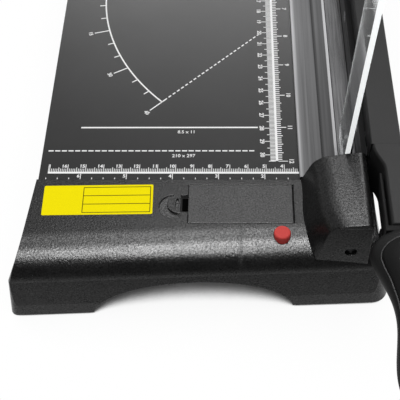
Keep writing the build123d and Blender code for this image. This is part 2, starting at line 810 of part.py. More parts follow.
hood_runs = [0, hood_mid_run, hood_bend_run, hood_run]
hood_lefts = [hood_left_back, hood_left_mid, hood_left_bend, hood_left_front]
with BuildPart() as laser_housing:
    loft([hood_section(run, left).face() for run, left in zip(hood_runs, hood_lefts)])
    with BuildSketch(Plane.YZ.offset(cut_x)):
        with BuildLine():
            Polyline(
                (hood_front_y, top_z - 2 * hood_skirt),
                (hood_front_y, top_z + hood_lip_z),
                (hood_front_y - 2 * hood_lip, top_z + hood_lip_z),
                (hood_front_y - 2 * hood_lip, top_z - 2 * hood_skirt),
                close=True,
            )
        make_face()
    extrude(amount=2 * hood_left_back, both=True, mode=Mode.SUBTRACT)
    add(front_outer, mode=Mode.SUBTRACT)
    with BuildSketch(Plane.XZ.offset(-lip_y)):
        with Locations((laser_at_x, laser_at_z)):
            Circle(laser_dia / 2 + fit_gap)
    extrude(amount=laser_sink + lens_thick + laser_length + fit_gap, mode=Mode.SUBTRACT)
    with BuildSketch(Plane.XZ.offset(-hood_front_y)):
        with Locations((hood_screw_at_x, hood_screw_at_z)):
            Circle(hood_screw_head / 2 + part_gap)
    extrude(amount=-hood_screw_sink, mode=Mode.SUBTRACT)
    with BuildSketch(Plane.XZ.offset(-hood_front_y)):
        with Locations((hood_screw_at_x, hood_screw_at_z)):
            Circle(hood_screw_dia / 2 + fit_gap)
    extrude(amount=-(hood_screw_sink + hood_screw_length + fit_gap), mode=Mode.SUBTRACT)
finish(laser_housing, "laser_housing")

with BuildPart() as housing_screw:
    with BuildSketch(Plane.XZ.offset(-(hood_front_y + hood_screw_sink))):
        with Locations((hood_screw_at_x, hood_screw_at_z)):
            Circle(hood_screw_head / 2)
    extrude(amount=hood_screw_head_thick)
    with BuildSketch(Plane.XZ.offset(-(hood_front_y + hood_screw_sink))):
        with Locations((hood_screw_at_x, hood_screw_at_z)):
            Circle(hood_screw_dia / 2)
    extrude(amount=-hood_screw_length)
finish(housing_screw, "housing_screw")

laser_front = lip_y - laser_sink
with BuildPart() as laser_lens:
    with BuildSketch(Plane.XZ.offset(-laser_front)):
        with Locations((laser_at_x, laser_at_z)):
            Circle(laser_dia / 2)
    extrude(amount=lens_thick - fit_gap)
finish(laser_lens, "laser_lens")

with BuildPart() as laser_module:
    with BuildSketch(Plane.XZ.offset(-(laser_front - lens_thick))):
        with Locations((laser_at_x, laser_at_z)):
            Circle(laser_dia / 2)
    extrude(amount=laser_length)
    chamfer(laser_module.edges().group_by(Axis.Y)[0], laser_edge)
finish(laser_module, "laser_module")

# Clear finger guard, shown swung up
guard_plane = Plane(
    origin=(guard_left, guard_y, guard_z),
    x_dir=(0, -sin(guard_tilt), cos(guard_tilt)),
    z_dir=(1, 0, 0),
)
with BuildPart() as finger_guard:
    with BuildSketch(guard_plane) as guard_face:
        with Locations((guard_length / 2, 0)):
            Rectangle(guard_length, guard_width)
        fillet(guard_face.vertices().sort_by(Axis.X)[-2:], guard_round)
        Circle(guard_width / 2)
        Circle(guard_pin_dia / 2 + run_gap, mode=Mode.SUBTRACT)
    extrude(amount=guard_thick)
finish(finger_guard, "finger_guard")

lug_left = guard_left + guard_thick + part_gap
with BuildPart() as guard_lug:
    with BuildSketch(Plane.YZ.offset(lug_left)):
        with Locations((guard_y, guard_z)):
            Circle(lug_radius)
        with Locations((guard_y, (guard_z + top_z) / 2)):
            Rectangle(2 * lug_radius, guard_z - top_z)
        with Locations((guard_y, guard_z)):
            Circle(guard_pin_dia / 2 + fit_gap, mode=Mode.SUBTRACT)
    extrude(amount=lug_thick)
    with BuildSketch(Plane.YZ.offset(lug_left)):
        with Locations((guard_y, top_z + lug_foot / 2)):
            Rectangle(2 * lug_radius, lug_foot)
    extrude(amount=cut_x - lug_left - 2 * blade_gap)
finish(guard_lug, "guard_lug")

with BuildPart() as guard_pin:
    with BuildSketch(Plane.YZ.offset(guard_left)):
        with Locations((guard_y, guard_z)):
            Circle(guard_pin_dia / 2)
    extrude(amount=lug_left + lug_thick - guard_left)
finish(guard_pin, "guard_pin")

# Blade, ground on its outer side
blade_screw_pitch = (rear_lip_y - blade_front - 2 * blade_screw_inset) / (blade_screw_count - 1)
blade_screw_ys = [blade_front + blade_screw_inset + i * blade_screw_pitch for i in range(blade_screw_count)]
blade_screw_z = (beam_low + top_z + blade_over) / 2
with BuildPart() as blade:
    with BuildSketch(Plane.YZ.offset(blade_left)):
        with BuildLine():
            Polyline(
                (blade_front, top_z - blade_under),
                (blade_front, top_z + blade_over),
                (rear_lip_y, top_z + blade_over),
                (rear_lip_y, top_z - blade_far_under),
                close=True,
            )
        make_face()
    extrude(amount=blade_thick)
    ground_edge = blade.faces().sort_by(Axis.Z)[0].edges().sort_by(Axis.X)[-1]
    chamfer(ground_edge, blade_bevel_rise, blade_bevel_in)
    with BuildSketch(Plane.YZ.offset(blade_left)):
        with Locations(*[(y, blade_screw_z) for y in blade_screw_ys]):
            Circle(screw_head_dia / 2 + fit_gap)
    extrude(amount=screw_head_thick, mode=Mode.SUBTRACT)
    with BuildSketch(Plane.YZ.offset(blade_left)):
        with Locations(*[(y, blade_screw_z) for y in blade_screw_ys]):
            Circle(screw_dia / 2 + fit_gap)
    extrude(amount=blade_thick, mode=Mode.SUBTRACT)
finish(blade, "blade")

with BuildPart() as blade_screws:
    with BuildSketch(Plane.YZ.offset(blade_left)):
        with Locations(*[(y, blade_screw_z) for y in blade_screw_ys]):
            Circle(screw_head_dia / 2)
    extrude(amount=screw_head_thick - fit_gap)
    with BuildSketch(Plane.YZ.offset(blade_left)):
        with Locations(*[(y, blade_screw_z) for y in blade_screw_ys]):
            Circle(screw_dia / 2)
    extrude(amount=blade_thick + beam_wall)
finish(blade_screws, "blade_screws")

# Arm: channel open below, with a solid eye at the pivot
eye_front = pivot_y - pivot_eye_run
pin_ys = [beam_front + handle_pin_inset, beam_front + handle_pin_inset + handle_pin_pitch]
pin_z = (beam_low + beam_high - beam_wall) / 2
with BuildPart() as arm_beam:
    with BuildSketch(Plane.XZ.offset(-eye_front)):
        with BuildLine():
            Polyline(
                (beam_left, beam_low),
                (beam_left, beam_high - beam_edge),
                (beam_left + beam_edge, beam_high),
                (beam_right - beam_edge, beam_high),
                (beam_right, beam_high - beam_edge),
                (beam_right, beam_low),
                (beam_right - beam_wall, beam_low),
                (beam_right - beam_wall, beam_high - beam_wall),
                (beam_left + beam_wall, beam_high - beam_wall),
                (beam_left + beam_wall, beam_low),
                close=True,
            )
        make_face()
    extrude(amount=eye_front - beam_front)
    with BuildSketch(Plane.YZ.offset(beam_left)):
        with BuildLine():
            Line((eye_front, beam_low), (eye_front, beam_high))
            Line((eye_front, beam_high), (pivot_y, pivot_height + pivot_boss_radius))
            ThreePointArc(
                (pivot_y, pivot_height + pivot_boss_radius),
                (pivot_y + pivot_boss_radius, pivot_height),
                (pivot_y, pivot_height - pivot_boss_radius),
            )
            Line((pivot_y, pivot_height - pivot_boss_radius), (eye_front, beam_low))
        make_face()
    extrude(amount=beam_width)
    with BuildSketch(Plane.YZ.offset(beam_left)):
        with Locations((pivot_y, pivot_height)):
            Circle(pivot_bolt_dia / 2 + run_gap + bush_wall + fit_gap)
    extrude(amount=beam_width, mode=Mode.SUBTRACT)
    with BuildSketch(Plane.YZ.offset(beam_left)):
        with Locations(*[(y, blade_screw_z) for y in blade_screw_ys]):
            Circle(screw_dia / 2 + fit_gap)
    extrude(amount=beam_wall, mode=Mode.SUBTRACT)
    with BuildSketch(Plane.YZ.offset(beam_left)):
        with Locations(*[(y, pin_z) for y in pin_ys]):
            Circle(handle_pin_dia / 2 + fit_gap)
    extrude(amount=beam_width, mode=Mode.SUBTRACT)
finish(arm_beam, "arm_beam")

with BuildPart() as pivot_bush:
    with BuildSketch(Plane.YZ.offset(beam_left)):
        with Locations((pivot_y, pivot_height)):
            Circle(pivot_bolt_dia / 2 + run_gap + bush_wall)
            Circle(pivot_bolt_dia / 2 + run_gap, mode=Mode.SUBTRACT)
    extrude(amount=beam_width)
finish(pivot_bush, "pivot_bush")

# Handle root: steps out past the laser housing, with a rib, a collar and a tang for the grip
root_end = lip_y - handle_root_length
bend_end = beam_front - handle_bend
root_start = beam_front - fit_gap
root_left = beam_left + handle_step
root_right = root_left + handle_width
rib_left = root_left - handle_rib
rib_right = rib_left + handle_rib_thick
rib_top = beam_high - handle_rib_drop
groove_z = beam_high - handle_groove
tang_x = (root_left + root_right) / 2
tang_z = handle_bottom + tang_rise
with BuildPart() as handle_root:
    with BuildSketch(Plane.XY.offset(handle_bottom)):
        with BuildLine():
            Line((beam_left + beam_edge, root_start), (beam_right, root_start))
            Spline((beam_right, root_start), (root_right, bend_end), tangents=((0, -1), (0, -1)))
            Polyline(
                (root_right, bend_end),
                (root_right, root_end),
                (root_left, root_end),
                (root_left, bend_end),
            )
            Spline((root_left, bend_end), (beam_left + beam_edge, root_start), tangents=((0, 1), (0, 1)))
        make_face()
    extrude(amount=beam_high - handle_bottom)
    fillet(handle_root.edges().group_by(Axis.Z)[-1].sort_by(Axis.Y)[:4], handle_edge)
    with BuildSketch(Plane.XZ.offset(-bend_end)):
        with BuildLine():
            Polyline(
                (tang_x, handle_bottom),
                (root_left, handle_bottom),
                (rib_left, rib_top),
                (rib_right, rib_top),
                (rib_right, groove_z),
                (tang_x, groove_z),
                close=True,
            )
        make_face()
    extrude(amount=bend_end - root_end)
    with BuildSketch(Plane.XY.offset(handle_bottom)):
        with Locations((tang_x, root_end - collar_thick / 2)):
            Rectangle(collar_width, collar_thick)
    extrude(amount=collar_height)
    with BuildSketch(Plane.XZ.offset(-root_end)):
        with Locations((tang_x, tang_z)):
            Rectangle(tang_width, tang_height)
    extrude(amount=collar_thick + tang_length)
    with BuildSketch(Plane.XZ.offset(-(beam_front + spigot_length))):
        with Locations(((beam_left + beam_right) / 2, pin_z)):
            Rectangle(beam_width - 2 * beam_wall - 2 * fit_gap, beam_height - beam_wall - 2 * fit_gap)
    extrude(amount=spigot_length + fit_gap)
    with BuildSketch(Plane.YZ.offset(beam_left)):
        with Locations(*[(y, pin_z) for y in pin_ys]):
            Circle(handle_pin_dia / 2 + fit_gap)
    extrude(amount=beam_width, mode=Mode.SUBTRACT)
finish(handle_root, "handle_root")

with BuildPart() as handle_pins:
    with BuildSketch(Plane.YZ.offset(beam_left)):
        with Locations(*[(y, pin_z) for y in pin_ys]):
            Circle(handle_pin_dia / 2)
    extrude(amount=beam_width)
finish(handle_pins, "handle_pins")

# Grip: a round bulb behind the collar, a narrow neck and a fuller heel, pushed over the tang
grip_far = root_end - collar_thick - grip_gap
grip_sections = [
    (0, grip_end_width, grip_end_height),
    (grip_bulb_run, grip_bulb_width, grip_bulb_height),
    (grip_taper_run, grip_taper_width, grip_taper_height),
    (grip_neck_run, grip_neck_width, grip_neck_height),
    (grip_heel_run, grip_heel_width, grip_heel_height),
    (grip_length, grip_tip_width, grip_tip_height),
]
with BuildPart() as grip:
    for run, width, height in grip_sections:
        with BuildSketch(Plane.XZ.offset(-(grip_far - run))):
            with Locations((tang_x, tang_z)):
                Ellipse(width / 2, height / 2)
    loft()
    fillet(grip.edges().sort_by(Axis.Y)[0], grip_round)
    with BuildSketch(Plane.XZ.offset(-grip_far)):
        with Locations((tang_x, tang_z)):
            Rectangle(tang_width + 2 * grip_gap, tang_height + 2 * grip_gap)
    extrude(amount=tang_length, mode=Mode.SUBTRACT)
finish(grip, "grip")

# Pivot: bracket, bolt, washers and cover
with BuildPart() as pivot_bracket:
    with BuildSketch(Plane.YZ.offset(bracket_left)):
        with BuildLine():
            Line((pivot_y - bracket_foot / 2, cap_clear), (pivot_y + bracket_foot / 2, cap_clear))
            Line((pivot_y + bracket_foot / 2, cap_clear), (pivot_y + bracket_eye, pivot_height))
            ThreePointArc(
                (pivot_y + bracket_eye, pivot_height),
                (pivot_y, pivot_height + bracket_eye),
                (pivot_y - bracket_eye, pivot_height),
            )
            Line((pivot_y - bracket_eye, pivot_height), (pivot_y - bracket_foot / 2, cap_clear))
        make_face()
        with Locations((pivot_y, pivot_height)):
            Circle(pivot_bolt_dia / 2 + fit_gap, mode=Mode.SUBTRACT)
        with Locations(*bracket_screws_at):
            Circle(screw_dia / 2 + fit_gap, mode=Mode.SUBTRACT)
    extrude(amount=bracket_thick)
finish(pivot_bracket, "pivot_bracket")

with BuildPart() as bracket_screws:
    with BuildSketch(Plane.YZ.offset(bracket_right)):
        with Locations(*bracket_screws_at):
            Circle(screw_head_dia / 2)
    extrude(amount=screw_head_thick)
    with BuildSketch(Plane.YZ.offset(bracket_right)):
        with Locations(*bracket_screws_at):
            Circle(screw_dia / 2)
    extrude(amount=-(bracket_thick + bracket_screw_reach))
finish(bracket_screws, "bracket_screws")

with BuildPart() as thrust_washer:
    with BuildSketch(Plane.YZ.offset(bracket_right + fit_gap)):
        with Locations((pivot_y, pivot_height)):
            Circle(washer_dia / 2)
            Circle(pivot_bolt_dia / 2 + fit_gap, mode=Mode.SUBTRACT)
    extrude(amount=beam_left - bracket_right - 3 * fit_gap)
finish(thrust_washer, "thrust_washer")

with BuildPart() as spring_washer:
    with BuildSketch(Plane.YZ.offset(beam_right + 2 * fit_gap)):
        with Locations((pivot_y, pivot_height)):
            Circle(washer_dia / 2)
            Circle(pivot_bolt_dia / 2 + fit_gap, mode=Mode.SUBTRACT)
    extrude(amount=spring_thick)
finish(spring_washer, "spring_washer")

head_left = beam_right + spring_thick + 3 * fit_gap
with BuildPart() as pivot_bolt:
    with BuildSketch(Plane.YZ.offset(head_left)):
        with Locations((pivot_y, pivot_height)):
            RegularPolygon(pivot_head_dia / 2, 6)
    extrude(amount=pivot_head_thick)
    with BuildSketch(Plane.YZ.offset(head_left)):
        with Locations((pivot_y, pivot_height)):
            Circle(pivot_bolt_dia / 2)
    extrude(amount=-(head_left - bracket_left - fit_gap))
finish(pivot_bolt, "pivot_bolt")

with BuildPart() as pivot_cover:
    with BuildSketch(Plane.YZ.offset(head_left)):
        with Locations((pivot_y, pivot_height)):
            Circle(pivot_head_dia / 2 + fit_gap + pivot_cap_wall)
    extrude(amount=pivot_head_thick + pivot_cap_wall + fit_gap)
    fillet(pivot_cover.edges().group_by(Axis.X)[-1], pivot_cap_wall)
    with BuildSketch(Plane.YZ.offset(head_left)):
        with Locations((pivot_y, pivot_height)):
            Circle(pivot_head_dia / 2 + fit_gap)
    extrude(amount=pivot_head_thick + fit_gap, mode=Mode.SUBTRACT)
finish(pivot_cover, "pivot_cover")
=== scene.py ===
from math import cos, pi, radians, sin

import bmesh
import bpy
from mathutils import Matrix, Vector
from mathutils.bvhtree import BVHTree


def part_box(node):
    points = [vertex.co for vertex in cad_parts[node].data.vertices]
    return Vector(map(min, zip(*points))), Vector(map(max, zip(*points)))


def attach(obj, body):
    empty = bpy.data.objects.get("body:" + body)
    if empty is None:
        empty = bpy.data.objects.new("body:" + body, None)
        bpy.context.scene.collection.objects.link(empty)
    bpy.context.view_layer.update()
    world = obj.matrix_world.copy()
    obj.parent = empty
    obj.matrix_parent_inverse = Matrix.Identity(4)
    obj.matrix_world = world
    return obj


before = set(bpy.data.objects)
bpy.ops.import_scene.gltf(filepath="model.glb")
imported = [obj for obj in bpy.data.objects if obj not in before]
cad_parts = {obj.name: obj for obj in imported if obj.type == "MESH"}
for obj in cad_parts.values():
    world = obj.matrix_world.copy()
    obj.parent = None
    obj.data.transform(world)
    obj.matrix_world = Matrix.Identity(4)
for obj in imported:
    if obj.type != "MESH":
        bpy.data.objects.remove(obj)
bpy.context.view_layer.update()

MM = 0.001
INCH = 25.4 * MM

# Places taken from the boxes of the parts in model.glb
CATCH_LENGTH = 3.35 * MM
_, table_high = (Vector(corner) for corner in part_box("table_plate"))
knife_low, knife_high = (Vector(corner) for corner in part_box("lower_knife"))
fence_low, _ = (Vector(corner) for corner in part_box("fence"))
clamp_low, clamp_high = (Vector(corner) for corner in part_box("clamp_bar"))
_, cap_high = (Vector(corner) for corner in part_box("front_cap"))
blade_low, _ = (Vector(corner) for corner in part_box("blade"))
door_low, _ = (Vector(corner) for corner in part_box("battery_door"))
_, root_high = (Vector(corner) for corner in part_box("handle_root"))
grip_low, grip_high = (Vector(corner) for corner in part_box("grip"))
top_z = table_high.z
cut_x = knife_high.x
lip_y = knife_low.y
fence_y = fence_low.y
cap_top = cap_high.z
door_left = door_low.x + CATCH_LENGTH

# Shader helpers
X_AXIS = (1.0, 0.0, 0.0)
Y_AXIS = (0.0, 1.0, 0.0)
Z_AXIS = (0.0, 0.0, 1.0)
ALONG_Y = (1.0, 0.03, 1.0)
FAR_ALONG_Y = (1.0, 0.01, 1.0)
BLUE_TRACE = 1.02


def shader_of(name, colour, roughness, metallic=0.0, **sockets):
    """New material with its Principled shader's plain values set; gives the material and the shader."""
    made = bpy.data.materials.new(name)
    made.use_nodes = True
    shader = made.node_tree.nodes["Principled BSDF"]
    shader.inputs["Base Color"].default_value = (*colour, 1.0)
    shader.inputs["Roughness"].default_value = roughness
    shader.inputs["Metallic"].default_value = metallic
    for socket, value in sockets.items():
        shader.inputs[socket.replace("_", " ")].default_value = value
    return made, shader


def grey(level):
    """Neutral tone with a trace of blue."""
    return (level, level, level * BLUE_TRACE)


def joined(tree, operation, first, second):
    """Math on two grey values."""
    node = tree.nodes.new("ShaderNodeMath")
    node.operation = operation
    tree.links.new(first, node.inputs[0])
    tree.links.new(second, node.inputs[1])
    return node.outputs["Value"]


def worked(tree, operation, source, number=0.0):
    """Math on one grey value and a number."""
    node = tree.nodes.new("ShaderNodeMath")
    node.operation = operation
    node.inputs[1].default_value = number
    tree.links.new(source, node.inputs[0])
    return node.outputs["Value"]


def measured(made, direction, space="Object"):
    """Distance along a direction in one of the texture spaces."""
    nodes, links = made.node_tree.nodes, made.node_tree.links
    place = nodes.new("ShaderNodeTexCoord")
    dot = nodes.new("ShaderNodeVectorMath")
    dot.operation = "DOT_PRODUCT"
    dot.inputs[1].default_value = direction
    links.new(place.outputs[space], dot.inputs[0])
    return dot.outputs["Value"]


def noise(made, scale, detail=2.0, stretch=(1.0, 1.0, 1.0)):
    """Noise in the object's own metres, stretched along its axes."""
    nodes, links = made.node_tree.nodes, made.node_tree.links
    place = nodes.new("ShaderNodeTexCoord")
    mapping = nodes.new("ShaderNodeMapping")
    mapping.inputs["Scale"].default_value = stretch
    texture = nodes.new("ShaderNodeTexNoise")
    texture.inputs["Scale"].default_value = scale
    texture.inputs["Detail"].default_value = detail
    links.new(place.outputs["Object"], mapping.inputs["Vector"])
    links.new(mapping.outputs["Vector"], texture.inputs["Vector"])
    return texture.outputs["Fac"]


def spread(made, source, low, high, start=0.35, stop=0.65):
    """Turns a grey value between start and stop into a run between two numbers."""
    node = made.node_tree.nodes.new("ShaderNodeMapRange")
    node.inputs["From Min"].default_value = start
    node.inputs["From Max"].default_value = stop
    node.inputs["To Min"].default_value = low
    node.inputs["To Max"].default_value = high
    made.node_tree.links.new(source, node.inputs["Value"])
    return node.outputs["Result"]


def ramped(made, source, stops):
    """Turns a grey value into a colour by stops, each a position and a colour."""
    ramp = made.node_tree.nodes.new("ShaderNodeValToRGB")
    elements = ramp.color_ramp.elements
    while len(elements) < len(stops):
        elements.new(1.0)
    for element, (position, colour) in zip(elements, stops):
        element.position = position
        element.color = (*colour, 1.0)
    made.node_tree.links.new(source, ramp.inputs["Fac"])
    return ramp.outputs["Color"]


def tint(made, shader, source, dark, light, start=0.35, stop=0.65):
    """Colours the shader between two colours."""
    colour = ramped(made, source, [(start, dark), (stop, light)])
    made.node_tree.links.new(colour, shader.inputs["Base Color"])


def roughen(made, shader, source, low, high):
    """Lets the roughness run between two numbers."""
    made.node_tree.links.new(spread(made, source, low, high), shader.inputs["Roughness"])


def bump(made, shader, source, depth, strength=1.0, edge_round=0.0):
    """Bumps the surface, and rounds its sharp edges where a radius is given."""
    node = made.node_tree.nodes.new("ShaderNodeBump")
    node.inputs["Strength"].default_value = strength
    node.inputs["Distance"].default_value = depth
    made.node_tree.links.new(source, node.inputs["Height"])
    if edge_round:
        rounding = made.node_tree.nodes.new("ShaderNodeBevel")
        rounding.inputs["Radius"].default_value = edge_round
        made.node_tree.links.new(rounding.outputs["Normal"], node.inputs["Normal"])
    made.node_tree.links.new(node.outputs["Normal"], shader.inputs["Normal"])


def multiplied(made, colour, level):
    """Colour times a grey value."""
    mix = made.node_tree.nodes.new("ShaderNodeMix")
    mix.data_type = "RGBA"
    mix.blend_type = "MULTIPLY"
    mix.inputs["Factor"].default_value = 1.0
    made.node_tree.links.new(colour, mix.inputs["A"])
    made.node_tree.links.new(level, mix.inputs["B"])
    return mix.outputs["Result"]


def show_mixed(tree, factor, first, second, output="Material Output"):
    """Shows the first shader where the factor is 0 and the second where it is 1."""
    mix = tree.nodes.new("ShaderNodeMixShader")
    tree.links.new(factor, mix.inputs["Fac"])
    tree.links.new(first, mix.inputs[1])
    tree.links.new(second, mix.inputs[2])
    tree.links.new(mix.outputs["Shader"], tree.nodes[output].inputs["Surface"])


# Kinds of finish
FINE_DETAIL = 3.0
STREAK_DETAIL = 4.0
MOULD_EDGE = 0.6 * MM
MOULD_DARK = 0.6
MOULD_LIGHT = 1.5
MOULD_PATCHES = 60.0
MOULD_UNEVEN = 0.03
SPARKLE_SCALE = 1350.0
SPARKLE_LOW = 0.35
SPARKLE_HIGH = 1.8
SPARKLE_START = 0.3
SPARKLE_STOP = 0.7
SINK_CORE = 0.2
SINK_DULLNESS = 0.12
# Painted shade for the door's catch, which lies in shadow deep in its slot
CATCH_SHADE_TONE = (0.002, 0.002, 0.002, 1.0)
CATCH_SHADE_BLEND = 0.1 * MM
COAT_GRAIN = 1800.0
COAT_PATCHES = 25.0
COAT_DARK = 0.85
COAT_LIGHT = 1.15
COAT_UNEVEN = 0.06
STEP_DEPTH = 1.0 * MM
STEP_ROUGHNESS = 0.8
STREAK_SCALE = 900.0
STREAK_DARK = 0.72
STREAK_LIGHT = 1.2
STREAK_DEPTH = 0.03 * MM
STREAK_STRENGTH = 0.6
BAND_STREAK_SCALE = 700.0
BAND_STREAK_DARK = 0.82
BAND_STREAK_LIGHT = 1.1
METAL_SMOOTHER = 0.08
METAL_ROUGHER = 0.1
METAL_PATCHES = 700.0
BLADE_ROUGHNESS = 0.4
BLADE_UNEVEN = 0.1
GROUND_START = 0.9
GROUND_STOP = 1.0
RUBBER_GRAIN = 1500.0
RUBBER_DARK = 0.8
RUBBER_LIGHT = 1.25
RUBBER_DEPTH = 0.04 * MM
RUBBER_ROUGHNESS = 0.5
RUBBER_SPECULAR = 0.12
CLEAR_TONE = (0.93, 0.95, 0.95)
CLEAR_IOR = 1.49
CLEAR_PATCHES = 40.0
CLEAR_SMOOTHEST = 0.02
CLEAR_ROUGHEST = 0.06
FROSTED_ROUGHNESS = 0.5
FLAT_FACE = 0.7
LENS_DUST = 900.0
LENS_SMOOTHEST = 0.02
LENS_ROUGHEST = 0.08
INK_GRAIN = 2500.0
INK_DARK = 0.9


def moulded(name, level, roughness, specular, grain_scale, grain_depth):
    """Moulded plastic with a fine spark-eroded grain that sparkles."""
    made, shader = shader_of(name, grey(level), roughness, Specular_IOR_Level=specular)
    grain = noise(made, grain_scale, FINE_DETAIL)
    tint(made, shader, grain, grey(level * MOULD_DARK), grey(level * MOULD_LIGHT))
    patches = noise(made, MOULD_PATCHES)
    roughen(made, shader, patches, roughness - MOULD_UNEVEN, roughness + MOULD_UNEVEN)
    bump(made, shader, grain, grain_depth, edge_round=MOULD_EDGE)
    speckle = noise(made, SPARKLE_SCALE, FINE_DETAIL)
    low = SPARKLE_LOW * specular
    high = SPARKLE_HIGH * specular
    sparkle = spread(made, speckle, low, high, SPARKLE_START, SPARKLE_STOP)
    made.node_tree.links.new(sparkle, shader.inputs["Specular IOR Level"])
    return made


def sink_mark(made, middle, half, far):
    """Dull stripe where a rib under the skin draws it in, from a line towards the user."""
    tree = made.node_tree
    away = worked(tree, "ABSOLUTE", worked(tree, "SUBTRACT", measured(made, X_AXIS), middle))
    across = spread(made, away, 1.0, 0.0, SINK_CORE * half, half)
    near = spread(made, measured(made, Y_AXIS), 1.0, 0.0, far - half, far)
    more = worked(tree, "MULTIPLY", joined(tree, "MULTIPLY", across, near), SINK_DULLNESS)
    socket = tree.nodes["Principled BSDF"].inputs["Roughness"]
    tree.links.new(joined(tree, "ADD", socket.links[0].from_socket, more), socket)


def dark_catch(made, edge):
    """Painted shade: dull black left of the door's edge, where the catch lies in shadow deep in its slot.
    """
    tree = made.node_tree
    dark = tree.nodes.new("ShaderNodeBsdfPrincipled")
    dark.inputs["Base Color"].default_value = CATCH_SHADE_TONE
    dark.inputs["Roughness"].default_value = 1.0
    dark.inputs["Specular IOR Level"].default_value = 0.0
    shade_mask = spread(made, measured(made, X_AXIS), 1.0, 0.0, edge - CATCH_SHADE_BLEND, edge)
    show_mixed(tree, shade_mask, tree.nodes["Principled BSDF"].outputs["BSDF"], dark.outputs["BSDF"])


def coated(name, level, roughness, specular, grain_depth):
    """Black powder coat on metal."""
    made, shader = shader_of(name, grey(level), roughness, Specular_IOR_Level=specular)
    grain = noise(made, COAT_GRAIN)
    tint(made, shader, noise(made, COAT_PATCHES), grey(level * COAT_DARK), grey(level * COAT_LIGHT))
    roughen(made, shader, grain, roughness - COAT_UNEVEN, roughness + COAT_UNEVEN)
    bump(made, shader, grain, grain_depth)
    return made


def stepped_coat(name, level, roughness, specular, grain_depth, top):
    """Powder coat that stays dull in the steps below the top face."""
    made = coated(name, level, roughness, specular, grain_depth)
    foot = top - STEP_DEPTH
    stepped = spread(made, measured(made, Z_AXIS), STEP_ROUGHNESS, roughness, foot, foot + STEP_DEPTH / 2)
    made.node_tree.links.new(stepped, made.node_tree.nodes["Principled BSDF"].inputs["Roughness"])
    return made


def drawn_metal(name, level, roughness):
    """Metal with streaks drawn along y."""
    made, shader = shader_of(name, grey(level), roughness, metallic=1.0)
    streaks = noise(made, STREAK_SCALE, STREAK_DETAIL, ALONG_Y)
    tint(made, shader, streaks, grey(level * STREAK_DARK), grey(level * STREAK_LIGHT))
    roughen(made, shader, streaks, roughness - METAL_SMOOTHER, roughness + METAL_ROUGHER)
    bump(made, shader, streaks, STREAK_DEPTH, STREAK_STRENGTH)
    return made


def banded_metal(name, roughness, low, high, polish_and_sheen_bands, sheen_fade, sheen_tones):
    """Satin strip along y whose tone changes across its width and along its length: the bands give bright
    edges, partly polish and partly a painted highlight, and the run along y is a painted sheen.
    """
    made, shader = shader_of(name, grey(polish_and_sheen_bands[0][1]), roughness, metallic=1.0)
    across = spread(made, measured(made, X_AXIS), 0.0, 1.0, low, high)
    stops = [(place / (high - low), grey(level)) for place, level in polish_and_sheen_bands]
    streaks = noise(made, BAND_STREAK_SCALE, STREAK_DETAIL, FAR_ALONG_Y)
    streak_tones = spread(made, streaks, BAND_STREAK_DARK, BAND_STREAK_LIGHT)
    streaked = multiplied(made, ramped(made, across, stops), streak_tones)
    # Painted sheen: the tone changes along y
    along = spread(made, measured(made, Y_AXIS), *sheen_tones, *sheen_fade)
    made.node_tree.links.new(multiplied(made, streaked, along), shader.inputs["Base Color"])
    roughen(made, shader, streaks, roughness - METAL_SMOOTHER, roughness + METAL_ROUGHER)
    return made


def ground_blade(name, edge_z, ground_z, oxide_and_shade, ground):
    """Steel near-black above its foot, black oxide darkened further by painted shade for the shadow beside
    the arm, with a bright ground edge along its foot.
    """
    made, shader = shader_of(name, grey(oxide_and_shade), BLADE_ROUGHNESS, metallic=1.0)
    across = spread(made, measured(made, Z_AXIS), 0.0, 1.0, edge_z, ground_z)
    tint(made, shader, across, grey(ground), grey(oxide_and_shade), GROUND_START, GROUND_STOP)
    streaks = noise(made, STREAK_SCALE, STREAK_DETAIL, ALONG_Y)
    roughen(made, shader, streaks, BLADE_ROUGHNESS - BLADE_UNEVEN, BLADE_ROUGHNESS + BLADE_UNEVEN)
    return made


def plain_metal(name, colour, roughness):
    """Bare metal, uneven in its polish."""
    made, shader = shader_of(name, colour, roughness, metallic=1.0)
    patches = noise(made, METAL_PATCHES, FINE_DETAIL)
    roughen(made, shader, patches, roughness - METAL_SMOOTHER, roughness + METAL_ROUGHER)
    return made


def soft_rubber(name, level):
    """Black rubber with a fine grain."""
    made, shader = shader_of(name, grey(level), RUBBER_ROUGHNESS, Specular_IOR_Level=RUBBER_SPECULAR)
    grain = noise(made, RUBBER_GRAIN)
    tint(made, shader, grain, grey(level * RUBBER_DARK), grey(level * RUBBER_LIGHT))
    bump(made, shader, grain, RUBBER_DEPTH)
    return made


def clear_plastic(name):
    """Clear sheet whose cut edges are frosted: the sheet's flat faces look along x."""
    made, shader = shader_of(name, CLEAR_TONE, CLEAR_SMOOTHEST, Transmission_Weight=1.0, IOR=CLEAR_IOR)
    tree = made.node_tree
    roughen(made, shader, noise(made, CLEAR_PATCHES), CLEAR_SMOOTHEST, CLEAR_ROUGHEST)
    edge = tree.nodes.new("ShaderNodeBsdfPrincipled")
    edge.inputs["Base Color"].default_value = (*CLEAR_TONE, 1.0)
    edge.inputs["Roughness"].default_value = FROSTED_ROUGHNESS
    facing = worked(tree, "ABSOLUTE", measured(made, X_AXIS, "Normal"))
    flat = worked(tree, "GREATER_THAN", facing, FLAT_FACE)
    show_mixed(tree, flat, edge.outputs["BSDF"], shader.outputs["BSDF"])
    return made


def tinted_glass(name, colour):
    """Coloured lens glass with a trace of dust."""
    made, shader = shader_of(name, colour, LENS_SMOOTHEST, Transmission_Weight=1.0)
    roughen(made, shader, noise(made, LENS_DUST), LENS_SMOOTHEST, LENS_ROUGHEST)
    return made


def ink(name, colour, roughness=0.5, specular=0.5):
    """Even colour with a faint grain, for prints, stickers and small coloured parts."""
    made, shader = shader_of(name, colour, roughness, Specular_IOR_Level=specular)
    tint(made, shader, noise(made, INK_GRAIN), [part * INK_DARK for part in colour], colour)
    return made


